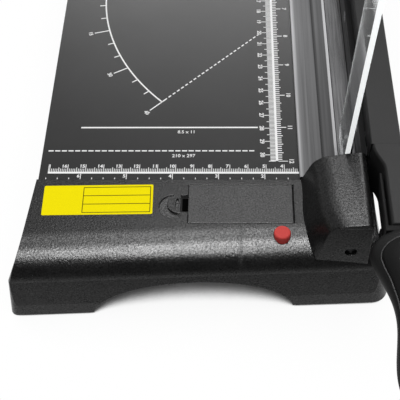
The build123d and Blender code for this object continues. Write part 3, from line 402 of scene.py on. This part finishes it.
# Materials
BLADE_GROUND = 4.0 * MM
RIB_X = cut_x - 64.1 * MM
RIB_HALF = 1.8 * MM
RIB_FAR_Y = lip_y - 31.0 * MM
# Clamp tones: painted sheen makes it lighter away from the lip; across the width the bright edges are
# partly polish and partly a painted highlight, with a dark narrow band near the middle
CLAMP_SHEEN_FADE = (lip_y, lip_y + 120.0 * MM)
CLAMP_SHEEN_TONES = (0.72, 1.3)
CLAMP_POLISH_AND_SHEEN_BANDS = [
    (0.0, 0.5),
    (0.9 * MM, 0.4),
    (2.6 * MM, 0.17),
    (7.0 * MM, 0.14),
    (12.3 * MM, 0.12),
    (12.9 * MM, 0.04),
    (13.9 * MM, 0.07),
    (14.8 * MM, 0.11),
    (19.8 * MM, 0.1),
    (20.1 * MM, 0.42),
    (21.5 * MM, 0.45),
]
cap_plastic = moulded(
    "cap_plastic", level=0.008, roughness=0.28, specular=0.13, grain_scale=900.0, grain_depth=0.12 * MM
)
sink_mark(cap_plastic, RIB_X, RIB_HALF, RIB_FAR_Y)
door_plastic = moulded(
    "door_plastic", level=0.013, roughness=0.3, specular=0.15, grain_scale=1000.0, grain_depth=0.05 * MM
)
# Painted shade: the door's catch is coloured dull black for the shadow in its slot
dark_catch(door_plastic, door_left)
smooth_plastic = moulded(
    "smooth_plastic", level=0.01, roughness=0.36, specular=0.18, grain_scale=1600.0, grain_depth=0.03 * MM
)
rim_plastic = moulded(
    "rim_plastic", level=0.03, roughness=0.3, specular=0.4, grain_scale=1600.0, grain_depth=0.02 * MM
)
table_paint = coated("table_paint", level=0.01, roughness=0.36, specular=0.15, grain_depth=0.02 * MM)
frame_paint = coated("frame_paint", level=0.014, roughness=0.5, specular=0.4, grain_depth=0.03 * MM)
arm_paint = coated("arm_paint", level=0.009, roughness=0.4, specular=0.16, grain_depth=0.02 * MM)
root_paint = stepped_coat(
    "root_paint", level=0.009, roughness=0.4, specular=0.16, grain_depth=0.02 * MM, top=root_high.z
)
# Clamp metal with a painted highlight on its edges and a painted sheen along its length
clamp_metal = banded_metal(
    "clamp_metal", 0.36, clamp_low.x, clamp_high.x, CLAMP_POLISH_AND_SHEEN_BANDS, CLAMP_SHEEN_FADE, CLAMP_SHEEN_TONES
)
knife_steel = drawn_metal("knife_steel", level=0.17, roughness=0.3)
# Blade: black oxide with painted shade for the shadow beside the arm, and a bright ground edge
blade_steel = ground_blade(
    "blade_steel", blade_low.z, blade_low.z + BLADE_GROUND, oxide_and_shade=0.02, ground=0.45
)
black_steel = plain_metal("black_steel", colour=(0.02, 0.02, 0.021), roughness=0.35)
screw_steel = plain_metal("screw_steel", colour=(0.3, 0.3, 0.31), roughness=0.3)
brass = plain_metal("brass", colour=(0.6, 0.45, 0.22), roughness=0.3)
grip_rubber = soft_rubber("grip_rubber", level=0.007)
inlay_rubber = soft_rubber("inlay_rubber", level=0.003)
foot_rubber = soft_rubber("foot_rubber", level=0.02)
guard_clear = clear_plastic("guard_clear")
lens_glass = tinted_glass("lens_glass", colour=(0.9, 0.5, 0.5))
button_red = ink("button_red", colour=(0.6, 0.065, 0.058), roughness=0.4, specular=0.12)
print_white = ink("print_white", colour=(0.85, 0.85, 0.85))
label_yellow = ink("label_yellow", colour=(0.88, 0.75, 0.002), specular=0.02)
label_line = ink("label_line", colour=(0.07, 0.06, 0.005), specular=0.05)
cell_wrap = ink("cell_wrap", colour=(0.22, 0.22, 0.24), roughness=0.35)
board_resin = ink("board_resin", colour=(0.04, 0.22, 0.1), roughness=0.35)

finishes = {
    cap_plastic: ["front_cap", "rear_cap", "laser_housing", "battery_tray"],
    door_plastic: ["battery_door"],
    smooth_plastic: ["fence", "pivot_cover", "push_switch"],
    table_paint: ["table_plate"],
    frame_paint: ["base_frame", "pivot_bracket"],
    arm_paint: ["arm_beam"],
    root_paint: ["handle_root"],
    black_steel: ["housing_screw"],
    clamp_metal: ["clamp_bar"],
    knife_steel: ["lower_knife", "guard_lug"],
    blade_steel: ["blade"],
    screw_steel: [
        "knife_screws", "blade_screws", "bracket_screws", "handle_pins", "guard_pin",
        "clamp_pins", "thrust_washer", "spring_washer", "pivot_bolt", "battery_contacts",
    ],
    brass: ["pivot_bush", "laser_module"],
    grip_rubber: ["grip"],
    foot_rubber: ["rubber_feet", "stop_cushion"],
    guard_clear: ["finger_guard"],
    button_red: ["laser_button"],
    cell_wrap: ["batteries"],
    board_resin: ["circuit_board"],
    lens_glass: ["laser_lens"],
}
for finish, names in finishes.items():
    for name in names:
        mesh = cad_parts[name].data
        mesh.materials.clear()
        mesh.materials.append(finish)

# Mesh helpers
PRINT_RISE = 0.04 * MM
BAR_FACES = ((0, 2, 3, 1), (4, 5, 7, 6), (0, 1, 5, 4), (2, 6, 7, 3), (0, 4, 6, 2), (1, 3, 7, 5))
PLAIN_WEIGHT = 0.02
BOLD_WEIGHT = 0.04
TEXT_STEPS = 3
CORNER_STEPS = 6


def add_bar(shape, low_x, high_x, low_y, high_y, low_z, turn=None):
    """Adds a thin flat bar to a growing mesh; turn is a matrix that places it."""
    points = []
    for z in (low_z, low_z + PRINT_RISE):
        points += [Vector((x, y, z)) for y in (low_y, high_y) for x in (low_x, high_x)]
    if turn:
        points = [turn @ point for point in points]
    made = [shape.verts.new(point) for point in points]
    for face in BAR_FACES:
        shape.faces.new([made[corner] for corner in face])


def add_rounded_sheet(shape, half_x, half_y, radius, low_z, turn):
    """Adds a thin sheet with rounded corners to a growing mesh."""
    rim = []
    for quarter in range(4):
        centre_x = (half_x - radius) * (1 if quarter in (0, 3) else -1)
        centre_y = (half_y - radius) * (1 if quarter in (0, 1) else -1)
        for step in range(CORNER_STEPS + 1):
            angle = (quarter + step / CORNER_STEPS) * pi / 2
            rim.append((centre_x + radius * cos(angle), centre_y + radius * sin(angle)))
    layers = []
    for level in (low_z, low_z + PRINT_RISE):
        layers.append([shape.verts.new(turn @ Vector((x, y, level))) for x, y in rim])
    bottom, top = layers
    shape.faces.new(bottom[::-1])
    shape.faces.new(top)
    for i in range(len(rim)):
        j = (i + 1) % len(rim)
        shape.faces.new((bottom[i], bottom[j], top[j], top[i]))


def add_text(shape, words, height, place, turn=0.0, align="CENTER", weight=PLAIN_WEIGHT):
    """Adds numerals of a given height to a growing mesh, centred on their place across the line."""
    curve = bpy.data.curves.new("numeral", "FONT")
    curve.body = words
    curve.offset = weight
    curve.resolution_u = TEXT_STEPS
    holder = bpy.data.objects.new("numeral", curve)
    mesh = bpy.data.meshes.new_from_object(holder)
    xs = [vertex.co.x for vertex in mesh.vertices]
    ys = [vertex.co.y for vertex in mesh.vertices]
    scale = height / (max(ys) - min(ys))
    anchor = {"CENTER": (min(xs) + max(xs)) / 2, "RIGHT": max(xs)}[align]
    middle = (min(ys) + max(ys)) / 2
    spin = Matrix.Translation(place) @ Matrix.Rotation(turn, 4, "Z") @ Matrix.Scale(scale, 4)
    mesh.transform(spin @ Matrix.Translation((-anchor, -middle, 0.0)))
    grown = bmesh.new()
    grown.from_mesh(mesh)
    lifted = bmesh.ops.extrude_face_region(grown, geom=grown.faces[:])
    tops = [item for item in lifted["geom"] if isinstance(item, bmesh.types.BMVert)]
    bmesh.ops.translate(grown, verts=tops, vec=(0.0, 0.0, PRINT_RISE))
    bmesh.ops.recalc_face_normals(grown, faces=grown.faces[:])
    grown.to_mesh(mesh)
    grown.free()
    shape.from_mesh(mesh)
    bpy.data.objects.remove(holder)
    bpy.data.curves.remove(curve)
    bpy.data.meshes.remove(mesh)


def piece_from(shape, name, finish, body):
    """Turns a grown mesh into a piece that rides on a body."""
    mesh = bpy.data.meshes.new(name)
    shape.to_mesh(mesh)
    shape.free()
    mesh.materials.append(finish)
    piece = bpy.data.objects.new(name, mesh)
    bpy.context.scene.collection.objects.link(piece)
    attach(piece, body)
    return piece


def tick_kind(step):
    """Whole, half or single step of a decimal scale."""
    return 10 if step % 10 == 0 else 5 if step % 5 == 0 else 1


# Printed marks
def front_scale():
    """Centimetres and inches along the front lip, counted from the cutting line."""
    left = cut_x - 170.8 * MM
    right = clamp_low.x - 0.2 * MM
    line_near = lip_y + 4.1 * MM
    line_far = lip_y + 5.4 * MM
    tick = 0.36 * MM
    tick_lengths = {10: 5.2 * MM, 5: 3.1 * MM, 1: 2.2 * MM}
    number_height = 2.4 * MM
    number_gap = 0.5 * MM
    number_y = line_far + 4.0 * MM
    inch_half = 0.2 * MM
    inch_near = lip_y + 0.1 * MM
    inch_far = lip_y + 4.0 * MM
    quarter_far = lip_y + 1.2 * MM
    inch_number_y = lip_y + 2.35 * MM
    millimetres = range(32, 171)
    centimetres = range(4, 17)
    quarter_inches = range(6, 28)

    shape = bmesh.new()
    add_bar(shape, left, right, line_near, line_far, top_z)
    for step in millimetres:
        x = cut_x - step * MM
        if left < x < right:
            far = line_far + tick_lengths[tick_kind(step)]
            add_bar(shape, x - tick / 2, x + tick / 2, line_far, far, top_z)
    add_bar(shape, left, left + tick, line_far, line_far + tick_lengths[10], top_z)
    for number in centimetres:
        place = (cut_x - 10 * number * MM - number_gap, number_y, top_z)
        add_text(shape, str(number), number_height, place, align="RIGHT", weight=BOLD_WEIGHT)
    for quarter in quarter_inches:
        x = cut_x - quarter * INCH / 4
        if quarter % 4 == 0:
            add_bar(shape, x - inch_half, x + inch_half, inch_near, inch_far, top_z)
            place = (x - number_gap, inch_number_y, top_z)
            add_text(shape, str(quarter // 4), number_height, place, align="RIGHT", weight=BOLD_WEIGHT)
        else:
            add_bar(shape, x - inch_half, x + inch_half, inch_near, quarter_far, top_z)
    piece_from(shape, "print_front_scale", print_white, "bed")


def side_scale():
    """Centimetres and inches along the clamp, counted from the fence."""
    line_left = cut_x - 44.4 * MM
    line_right = cut_x - 43.1 * MM
    line_start = fence_y - 2 * MM
    line_end = fence_y - 12 * INCH
    end_left = line_left - 3.9 * MM
    end_right = line_right + 5.4 * MM
    long_tick = 0.45 * MM
    short_tick = 0.55 * MM
    tick_lengths = {10: 6.0 * MM, 5: 4.5 * MM, 1: 3.0 * MM}
    inch_half = 0.3 * MM
    inch_length = 5.3 * MM
    quarter_length = 3.1 * MM
    sixteenth_length = 2.3 * MM
    number_height = 2.7 * MM
    number_x = line_left - 7.3 * MM
    inch_number_x = line_right + 7.5 * MM
    millimetres = range(3, 305)
    centimetres = range(1, 31)
    sixteenth_inches = range(2, 192)
    inches = range(1, 13)

    shape = bmesh.new()
    add_bar(shape, line_left, line_right, line_end, line_start, top_z)
    add_bar(shape, end_left, end_right, line_end, line_end + long_tick, top_z)
    for step in millimetres:
        y = fence_y - step * MM
        kind = tick_kind(step)
        wide = short_tick if kind == 1 else long_tick
        add_bar(shape, line_left - tick_lengths[kind], line_left, y - wide / 2, y + wide / 2, top_z)
    for number in centimetres:
        place = (number_x, fence_y - 10 * number * MM, top_z)
        add_text(shape, str(number), number_height, place, turn=-pi / 2, weight=BOLD_WEIGHT)
    for step in sixteenth_inches:
        y = fence_y - step * INCH / 16
        part_length = quarter_length if step % 4 == 0 else sixteenth_length
        reach = inch_length if step % 16 == 0 else part_length
        add_bar(shape, line_right, line_right + reach, y - inch_half, y + inch_half, top_z)
    for number in inches:
        place = (inch_number_x, fence_y - number * INCH, top_z)
        add_text(shape, str(number), number_height, place, turn=-pi / 2, weight=BOLD_WEIGHT)
    piece_from(shape, "print_side_scale", print_white, "bed")


def format_lines():
    """Two paper lengths: a plain line and a dashed one, each with its plain numbers."""
    right = cut_x - 54.0 * MM
    plain_left = cut_x - 155.5 * MM
    plain_y = fence_y - 11 * INCH
    plain_half = 0.5 * MM
    plain_height = 2.3 * MM
    plain_words = (cut_x - 95.0 * MM, plain_y - 3.4 * MM, top_z)
    dashed_left = cut_x - 172.3 * MM
    dashed_right = right + 0.6 * MM
    dashed_y = fence_y - 297.0 * MM
    dashed_half = 0.42 * MM
    dashed_height = 2.4 * MM
    dashed_words = (cut_x - 95.8 * MM, dashed_y - 3.6 * MM, top_z)
    dash = 2.9 * MM
    pitch = 3.77 * MM

    shape = bmesh.new()
    add_bar(shape, plain_left, right, plain_y - plain_half, plain_y + plain_half, top_z)
    add_text(shape, "8.5 x 11", plain_height, plain_words)
    x = dashed_left
    while x + dash < dashed_right:
        add_bar(shape, x, x + dash, dashed_y - dashed_half, dashed_y + dashed_half, top_z)
        x += pitch
    add_text(shape, "210 x 297", dashed_height, dashed_words)
    piece_from(shape, "print_format_lines", print_white, "bed")


def angle_scale():
    """Eighth of a protractor left of the clamp, with a dashed half right angle."""
    centre = Vector((cut_x - 12.25 * MM, fence_y - 161.6 * MM, 0.0))
    radius = 138.0 * MM
    arc_half = 0.45 * MM
    arc_steps = 48
    arc_overlap = 1.03
    span_degrees = 45
    tick_degrees = 5
    number_degrees = 15
    span = radians(span_degrees)
    tick_half = 0.35 * MM
    long_tick = 9.6 * MM
    short_tick = 3.85 * MM
    number_height = 2.6 * MM
    number_radius = radius + 12.0 * MM
    dash_half = 0.4 * MM
    dash = 2.0 * MM
    pitch = 3.4 * MM
    first_dash = 3.9 * MM
    dash_start = radius - 5.27 * MM
    dash_end = 55.0 * MM

    def turned(angle):
        return Matrix.Translation(centre) @ Matrix.Rotation(pi + angle, 4, "Z")

    shape = bmesh.new()
    reach = radius * span / arc_steps / 2 * arc_overlap
    for step in range(arc_steps):
        place = turned(span * (step + 0.5) / arc_steps)
        add_bar(shape, radius - arc_half, radius + arc_half, -reach, reach, top_z, place)
    for degrees in range(0, span_degrees + 1, tick_degrees):
        angle = radians(degrees)
        long = degrees % number_degrees == 0
        outer = radius + (long_tick if long else short_tick)
        add_bar(shape, radius, outer, -tick_half, tick_half, top_z, turned(angle))
        if long:
            place = turned(angle) @ Vector((number_radius, 0.0, top_z))
            add_text(shape, str(degrees), number_height, place, turn=angle - pi / 2, weight=BOLD_WEIGHT)
    add_bar(shape, radius - first_dash, radius, -dash_half, dash_half, top_z, turned(span))
    distance = dash_start
    while distance > dash_end:
        add_bar(shape, distance - dash, distance, -dash_half, dash_half, top_z, turned(span))
        distance -= pitch
    piece_from(shape, "print_angle_scale", print_white, "bed")


def yellow_label():
    """Blank sticker with ruled frames, no words or signs."""
    skew = radians(1.0)
    centre = Matrix.Translation((cut_x - 141.1 * MM, lip_y - 15.1 * MM, 0.0))
    middle = centre @ Matrix.Rotation(skew, 4, "Z")
    half_x = 29.7 * MM
    half_y = 10.0 * MM
    corner = 0.8 * MM
    left = -8.0 * MM
    right = 28.3 * MM
    near = -8.5 * MM
    far = 8.5 * MM
    lower_rule = -2.9 * MM
    upper_rule = 2.8 * MM
    rule = 0.42 * MM

    sheet = bmesh.new()
    add_rounded_sheet(sheet, half_x, half_y, corner, cap_top, middle)
    piece_from(sheet, "sticker_sheet", label_yellow, "bed")
    lines = bmesh.new()
    level = cap_top + PRINT_RISE
    for x in (left, right):
        add_bar(lines, x - rule / 2, x + rule / 2, near, far, level, middle)
    for y in (near, lower_rule, upper_rule, far):
        add_bar(lines, left, right, y - rule / 2, y + rule / 2, level, middle)
    piece_from(lines, "sticker_rules", label_line, "bed")


# Handle
INLAY_RISE = 0.25 * MM
INLAY_SINK = 0.6 * MM
INLAY_SHARE = 0.84
INLAY_ROWS = 40
INLAY_COLUMNS = 12
INLAY_START = grip_high.y - 5.4 * MM
INLAY_STOP = grip_low.y + 12.0 * MM
INLAY_START_CAP = 12.0 * MM
INLAY_STOP_CAP = 16.0 * MM
INLAY_TIP = 0.02
SCAN_STEP = 0.25 * MM
SCAN_ABOVE = grip_high.z + 10 * MM
RIM_RADIUS = 0.4 * MM
RIM_SIDES = 8


def inlay_grid():
    """Places and normals on the grip under the insert, row by row from its root to its end."""
    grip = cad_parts["grip"].data
    points = [vertex.co.copy() for vertex in grip.vertices]
    tree = BVHTree.FromPolygons(points, [tuple(face.vertices) for face in grip.polygons])
    down = Vector((0.0, 0.0, -1.0))

    def surface(x, y):
        """Place and normal of the grip straight below a point."""
        place, normal, _, _ = tree.ray_cast((x, y, SCAN_ABOVE), down)
        return place, normal

    def span(y):
        """Left and right edge of the grip as seen from above."""
        count = int((grip_high.x - grip_low.x) / SCAN_STEP)
        across = [grip_low.x + SCAN_STEP * step for step in range(count)]
        hits = [x for x in across if surface(x, y)[0]]
        return hits[0], hits[-1]

    def rounded(distance, cap):
        """Half ellipse at an end of the insert."""
        part = min(max(distance / cap, INLAY_TIP), 1.0)
        return (1.0 - (1.0 - part) ** 2) ** 0.5

    grid = []
    for row in range(INLAY_ROWS + 1):
        y = INLAY_START + (INLAY_STOP - INLAY_START) * (0.5 - 0.5 * cos(pi * row / INLAY_ROWS))
        left, right = span(y)
        ends = rounded(INLAY_START - y, INLAY_START_CAP) * rounded(y - INLAY_STOP, INLAY_STOP_CAP)
        half = INLAY_SHARE * (right - left) / 2 * ends
        offsets = [half * (2 * column / INLAY_COLUMNS - 1) for column in range(INLAY_COLUMNS + 1)]
        grid.append([surface((left + right) / 2 + offset, y) for offset in offsets])
    return grid


def inlay_ring():
    """Rows and columns around the edge of the insert."""
    ring = [(row, 0) for row in range(INLAY_ROWS)]
    ring += [(INLAY_ROWS, column) for column in range(INLAY_COLUMNS)]
    ring += [(row, INLAY_COLUMNS) for row in range(INLAY_ROWS, 0, -1)]
    ring += [(0, column) for column in range(INLAY_COLUMNS, 0, -1)]
    return ring


def grip_piece(shape, name, finish):
    """Turns a grown mesh into a smooth piece of the grip."""
    bmesh.ops.recalc_face_normals(shape, faces=shape.faces[:])
    for face in shape.faces:
        face.smooth = True
    piece_from(shape, name, finish, "arm")


def grip_inlay(grid, ring):
    """Soft insert along the top of the grip, laid on its surface."""
    shape = bmesh.new()
    tops = []
    foots = []
    for line in grid:
        tops.append([shape.verts.new(place + normal * INLAY_RISE) for place, normal in line])
        foots.append([shape.verts.new(place - normal * INLAY_SINK) for place, normal in line])
    for row in range(INLAY_ROWS):
        for column in range(INLAY_COLUMNS):
            corners = [(row, column), (row + 1, column), (row + 1, column + 1), (row, column + 1)]
            shape.faces.new([tops[r][c] for r, c in corners])
            shape.faces.new([foots[r][c] for r, c in corners[:1] + corners[:0:-1]])
    for (row, column), (next_row, next_column) in zip(ring, ring[1:] + ring[:1]):
        top, next_top = tops[row][column], tops[next_row][next_column]
        foot, next_foot = foots[row][column], foots[next_row][next_column]
        shape.faces.new((top, foot, next_foot, next_top))
    grip_piece(shape, "grip_inlay", inlay_rubber)


def grip_rim(grid, ring):
    """Raised rim around the insert."""
    shape = bmesh.new()
    loop = [grid[row][column] for row, column in ring]
    turns = [2 * pi * side / RIM_SIDES for side in range(RIM_SIDES)]
    hoops = []
    for i, (place, normal) in enumerate(loop):
        along = (loop[(i + 1) % len(loop)][0] - loop[i - 1][0]).normalized()
        out = along.cross(normal).normalized()
        rise = out.cross(along)
        arms = [cos(turn) * out + sin(turn) * rise for turn in turns]
        hoops.append([shape.verts.new(place + RIM_RADIUS * arm) for arm in arms])
    for first, second in zip(hoops, hoops[1:] + hoops[:1]):
        for side in range(RIM_SIDES):
            after = (side + 1) % RIM_SIDES
            shape.faces.new((first[side], first[after], second[after], second[side]))
    grip_piece(shape, "grip_rim", rim_plastic)


front_scale()
side_scale()
format_lines()
angle_scale()
yellow_label()
insert_grid = inlay_grid()
insert_ring = inlay_ring()
grip_inlay(insert_grid, insert_ring)
grip_rim(insert_grid, insert_ring)

# Floor, light and camera
WHITE = (1.0, 1.0, 1.0, 1.0)
FLOOR_SIZE = 12.0
FLOOR_DROP = 0.2 * MM
FLOOR_TONE = (0.35, 0.35, 0.35)
FLOOR_ROUGHNESS = 0.8
FLOOR_SHADE_REACH = 0.2
FLOOR_SHADE_SAMPLES = 64
FLOOR_SHADE = [(0.24, 0.03), (0.28, 0.22), (0.34, 0.7), (0.39, 0.94), (0.8, 1.0)]
FLOOR_INWARD = (-0.0482, 1.0, 0.0)
MIRRORED_FLOOR_EDGE = (-0.264, -0.238)
WORLD_BEHIND = (0.0, 1.0, 0.7)
WORLD_FADE = (-0.3, 0.4)
WORLD_LIGHT_FRONT = 0.15
WORLD_LIGHT_BACK = 0.85
CAMERA_PLACE = Vector((17.39, -477.48, 445.29)) * MM
CAMERA_YAW = -0.0515
CAMERA_PITCH = 0.9139
CAMERA_ROLL = 0.0395
FOCAL_SHARE = 926.57 / 400
SENSOR = 36.0
CLIP_START = 0.01
SHOULDER = (0.0, -0.205, 0.047)
CAP_NODES = ["front_cap", "battery_door", "laser_housing", "rear_cap", "pivot_cover"]
ARM_NODES = ["arm_beam", "handle_root", "grip"]


def ray_kinds(tree):
    """Gives 1 for a ray from the camera or through clear plastic, and 1 for a mirrored ray."""
    path = tree.nodes.new("ShaderNodeLightPath")
    straight = joined(tree, "MAXIMUM", path.outputs["Is Camera Ray"], path.outputs["Is Transmission Ray"])
    return straight, path.outputs["Is Glossy Ray"]


def white_floor():
    """White floor that keeps the soft shadow in and close around the object."""
    bpy.ops.mesh.primitive_plane_add(size=FLOOR_SIZE, location=(0.0, 0.0, -FLOOR_DROP))
    floor = bpy.context.object
    floor.name = "floor"
    made, shader = shader_of("floor_white", FLOOR_TONE, FLOOR_ROUGHNESS, Specular_IOR_Level=0.0)
    tree = made.node_tree
    open_sky = tree.nodes.new("ShaderNodeAmbientOcclusion")
    open_sky.samples = FLOOR_SHADE_SAMPLES
    open_sky.inputs["Distance"].default_value = FLOOR_SHADE_REACH
    shade_stops = [(openness, (level, level, level)) for openness, level in FLOOR_SHADE]
    shade = ramped(made, open_sky.outputs["AO"], shade_stops)
    near = spread(made, measured(made, FLOOR_INWARD), 0.0, 1.0, *MIRRORED_FLOOR_EDGE)
    straight, mirrored = ray_kinds(tree)
    seen = joined(tree, "MAXIMUM", straight, joined(tree, "MULTIPLY", mirrored, near))
    white = tree.nodes.new("ShaderNodeEmission")
    white.inputs["Color"].default_value = WHITE
    white.inputs["Strength"].default_value = 1.0
    shown = joined(tree, "MULTIPLY", seen, shade)
    show_mixed(tree, shown, shader.outputs["BSDF"], white.outputs["Emission"])
    floor.data.materials.append(made)


def white_world():
    """White behind and above, with less light from the user's side."""
    world = bpy.data.worlds.new("studio")
    bpy.context.scene.world = world
    world.use_nodes = True
    tree = world.node_tree
    behind = spread(world, measured(world, WORLD_BEHIND, "Generated"), 0.0, 1.0, *WORLD_FADE)
    light = tree.nodes["Background"]
    light.inputs["Color"].default_value = WHITE
    strength = spread(world, behind, WORLD_LIGHT_FRONT, WORLD_LIGHT_BACK, 0.0, 1.0)
    tree.links.new(strength, light.inputs["Strength"])
    seen = tree.nodes.new("ShaderNodeBackground")
    seen.inputs["Color"].default_value = WHITE
    seen.inputs["Strength"].default_value = 1.0
    straight, mirrored = ray_kinds(tree)
    shown = joined(tree, "MAXIMUM", straight, joined(tree, "MULTIPLY", mirrored, behind))
    show_mixed(tree, shown, light.outputs["Background"], seen.outputs["Background"], "World Output")


def lamp(name, place, target, size, power, along=X_AXIS, gloss_on=None, only_on=None):
    """Soft box whose long side lies along a direction; it can be kept to some nodes, or to their sheen."""
    data = bpy.data.lights.new(name, "AREA")
    data.shape = "RECTANGLE"
    data.size, data.size_y = size
    data.energy = power
    holder = bpy.data.objects.new(name, data)
    bpy.context.scene.collection.objects.link(holder)
    back = (Vector(place) - Vector(target)).normalized()
    up = back.cross(Vector(along)).normalized()
    turn = Matrix((up.cross(back), up, back)).transposed().to_4x4()
    holder.matrix_world = Matrix.Translation(place) @ turn
    holder.visible_camera = False
    holder.visible_diffuse = not gloss_on
    if gloss_on or only_on:
        receivers = bpy.data.collections.new(name)
        for node in gloss_on or only_on:
            receivers.objects.link(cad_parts[node])
        holder.light_linking.receiver_collection = receivers


def photo_camera():
    """Camera at the place that the scales on the table gave."""
    flat = cos(CAMERA_PITCH)
    forward = Vector((sin(CAMERA_YAW) * flat, cos(CAMERA_YAW) * flat, -sin(CAMERA_PITCH)))
    level = Vector((cos(CAMERA_YAW), -sin(CAMERA_YAW), 0.0))
    below = forward.cross(level)
    right = cos(CAMERA_ROLL) * level + sin(CAMERA_ROLL) * below
    down = -sin(CAMERA_ROLL) * level + cos(CAMERA_ROLL) * below
    data = bpy.data.cameras.new("photo_camera")
    data.sensor_width = SENSOR
    data.lens = FOCAL_SHARE * SENSOR
    data.clip_start = CLIP_START
    holder = bpy.data.objects.new("photo_camera", data)
    bpy.context.scene.collection.objects.link(holder)
    turn = Matrix((right, -down, -forward)).transposed().to_4x4()
    holder.matrix_world = Matrix.Translation(CAMERA_PLACE) @ turn
    bpy.context.scene.camera = holder


white_floor()
white_world()
lamp("top_box", place=(0.0, 0.1, 1.5), target=(0.0, 0.0, 0.0), size=(1.0, 0.8), power=10.0)
lamp(
    "wide_gloss", place=(0.0, -0.33, 1.24), target=SHOULDER,
    size=(1.4, 1.6), power=22.0, gloss_on=CAP_NODES,
)
lamp(
    "middle_gloss", place=(0.03, -0.33, 1.24), target=SHOULDER,
    size=(0.35, 1.5), power=23.0, gloss_on=CAP_NODES,
)
lamp(
    "front_gloss", place=(0.0, -0.915, 1.01), target=SHOULDER,
    size=(0.52, 0.85), power=54.0, along=(0.55, -0.72, -0.5), gloss_on=CAP_NODES,
)
lamp(
    "right_gloss", place=(0.09, -1.19, 0.73), target=(0.03, -0.205, 0.047),
    size=(0.42, 0.26), power=13.0, along=(1.0, -0.35, -0.28), gloss_on=CAP_NODES,
)
lamp(
    "hood_gloss", place=(-0.45, 0.55, 1.3), target=(0.08, -0.17, 0.07),
    size=(1.0, 0.8), power=7.0, gloss_on=["laser_housing"],
)
lamp(
    "hood_front_gloss", place=(0.17, 0.5, 1.3), target=(0.075, -0.2, 0.077),
    size=(0.5, 0.26), power=6.0, gloss_on=["laser_housing"],
)
lamp(
    "grip_gloss", place=(-0.1, -0.1, 1.2), target=(0.1, -0.23, 0.08),
    size=(0.6, 0.6), power=8.0, gloss_on=["grip", "handle_root"],
)
lamp(
    "guard_edge_light", place=(0.1, -1.0, 1.0), target=(0.1, -0.1, 0.15),
    size=(0.5, 0.5), power=20.0, only_on=["finger_guard"],
)
lamp(
    "roof_gloss", place=(0.25, 0.82, 1.35), target=(0.0, -0.17, 0.05),
    size=(1.1, 0.35), power=8.0, gloss_on=CAP_NODES + ARM_NODES,
)
lamp(
    "table_gloss", place=(0.1, 1.3, 0.72), target=(0.0, 0.0, 0.05),
    size=(1.1, 0.45), power=30.0, gloss_on=["table_plate", "fence"],
)
photo_camera()
bpy.context.scene.view_settings.view_transform = "Standard"
